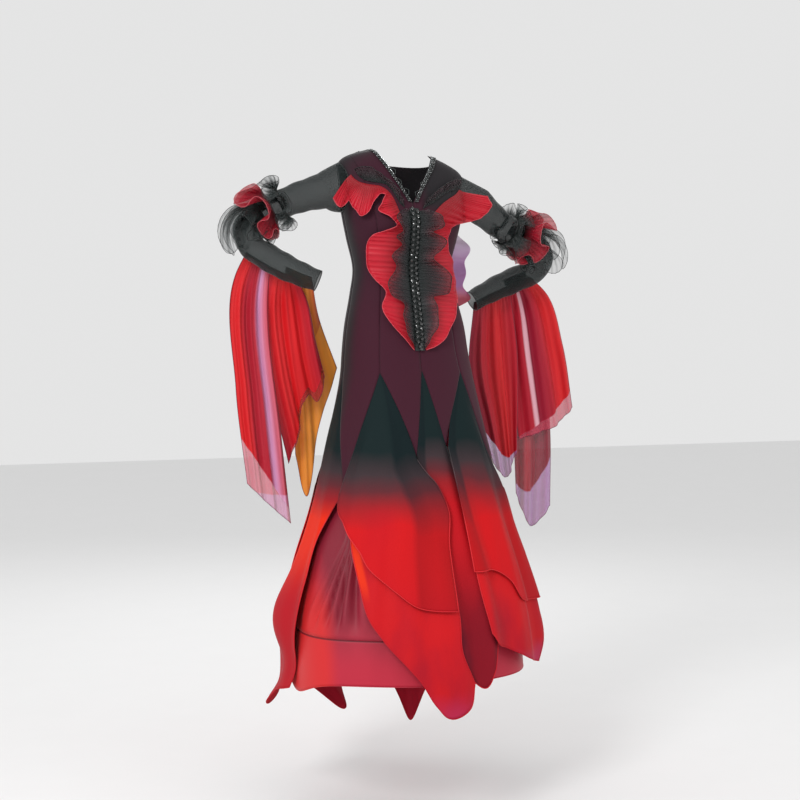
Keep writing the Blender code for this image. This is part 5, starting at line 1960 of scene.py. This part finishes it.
    def hang(self, name: str, finish: FloatChiffon, cut: Cut) -> None:
        """One float.

        Args:
            name: Name of the node.
            finish: Its finish.
            cut: Its flat size.
        """
        side, start, end, off, below, left, right, hem, pleat, pleats = self.table[name]
        arm = self.arms[side]
        top = [arm.behind(start + (end - start) * k / 12, off, below) for k in range(13)]
        top_line = Line.through(top)
        left_line = Line.through([top[0]] + [np.array(p) for p in left])
        right_line = Line.through([top[-1]] + [np.array(p) for p in right])
        hem_line = Line.through(hem)
        corners = left_line.at(1.0), right_line.at(1.0)

        def place(u: float, v: float) -> np.ndarray:
            a, b = left_line.at(v), right_line.at(v)
            upper = top_line.at(u) - (top[0] + (top[-1] - top[0]) * u)
            lower = hem_line.at(u) - (corners[0] + (corners[1] - corners[0]) * u)
            wave = pleat * math.sin(math.tau * pleats * u)
            wave += 0.45 * pleat * math.sin(math.tau * (2 * pleats + 1) * u + 2.5 * v)
            wave *= ramp(v, 0.0, 0.25)
            gather = 0.0012 * math.sin(math.tau * 13 * u) * math.exp(-v / 0.10)
            point = a + (b - a) * u + upper * (1 - v) + lower * v**2
            return point + np.array((0.0, wave + gather, 0.0))

        slot = "float_chiffon"
        if name == "float_right_under":
            slot = "float_chiffon_orange"
        if name == "float_left_middle":
            slot = "flounce_chiffon_mauve"
        self.tailor.cloth(name, 60, 84, place, finish, slot, cut, wall=0.0004)
        steps = [k / 60 for k in range(61)]
        rim = [place(0.0, v) for v in steps] + [place(u, 1.0) for u in steps[1:-1]]
        rim += [place(1.0, v) for v in reversed(steps)]
        self.tailor.edge_cord(name + "_edge", rim, 0.0006, self.edge, slot, sides=5)

    def build(self) -> None:
        """Make the six floats."""
        for name, (finish, cut) in self.finishes().items():
            self.hang(name, finish, cut)


@dataclass
class Studio:
    """Pale floor, soft light and the camera of the photograph's view."""

    place: Triple = (-1.3053, -3.9500, -0.377)
    azimuth: float = -18.0
    pitch: float = -3.576
    lens: float = 72.0
    sensor: float = 36.0
    aim: Triple = (0.0, 0.0, -0.70)
    lamps: tuple = (  # name, place, watts, size
        ("key", (-2.8, -2.8, 1.9), 105.0, 1.4),
        ("fill", (2.6, -2.6, 0.4), 20.0, 2.6),
        ("rim", (0.6, 3.0, 1.2), 26.0, 2.2),
    )
    sky: float = 0.78
    floor_height: float = -1.68
    floor_size: float = 9.0
    floor: Plain = Plain("studio_floor", (0.82, 0.82, 0.82), 0.8, grain=40.0, relief=0.0001,
                         variation=0.02)

    def camera(self) -> None:
        """Set the camera."""
        data = bpy.data.cameras.new("view")
        data.lens = self.lens
        data.sensor_width = self.sensor
        data.clip_end = 100.0
        camera = bpy.data.objects.new("view", data)
        camera.location = self.place
        camera.rotation_euler = (math.radians(90.0 + self.pitch), 0.0, math.radians(self.azimuth))
        bpy.context.scene.collection.objects.link(camera)
        bpy.context.scene.camera = camera

    def lamp(self, name: str, place: Triple, power: float, size: float) -> None:
        """Soft area light that points at the middle of the dress."""
        data = bpy.data.lights.new(name, "AREA")
        data.energy = power
        data.size = size
        lamp = bpy.data.objects.new(name, data)
        lamp.location = place
        aim = Vector(self.aim) - Vector(place)
        lamp.rotation_euler = aim.to_track_quat("-Z", "Y").to_euler()
        bpy.context.scene.collection.objects.link(lamp)

    def ground(self) -> None:
        """Lay the floor."""
        bm = bmesh.new()
        place = Matrix.Translation((0.0, 0.0, self.floor_height))
        bmesh.ops.create_grid(bm, x_segments=4, y_segments=4, size=self.floor_size,
                              matrix=place)
        mesh = bpy.data.meshes.new("floor")
        bm.to_mesh(mesh)
        bm.free()
        mesh.materials.append(self.floor.build())
        floor = bpy.data.objects.new("floor", mesh)
        bpy.context.scene.collection.objects.link(floor)

    def build(self) -> None:
        """Set up the studio."""
        self.camera()
        self.ground()
        for row in self.lamps:
            self.lamp(*row)
        world = bpy.data.worlds.new("studio")
        world.use_nodes = True
        background = world.node_tree.nodes["Background"]
        background.inputs["Color"].default_value = (1.0, 1.0, 1.0, 1.0)
        background.inputs["Strength"].default_value = self.sky
        bpy.context.scene.world = world
        bpy.context.scene.view_settings.view_transform = "Standard"


def main() -> None:
    """Dress the frame."""
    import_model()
    tailor = Tailor()
    bodice = Bodice(tailor)
    arms = {side: Arm(side, bodice) for side in SIDE}
    for part in (bodice, Beadwork(tailor, bodice), Skirt(tailor, bodice), Underskirt(tailor),
                 Sleeves(tailor, arms), FrontFrills(tailor), BackFlounce(tailor),
                 Floats(tailor, arms), Studio()):
        part.build()
        LOG.info("%s is done", type(part).__name__)


if __name__ == "__main__":
    logging.basicConfig(level=logging.INFO, format="%(message)s")
    main()
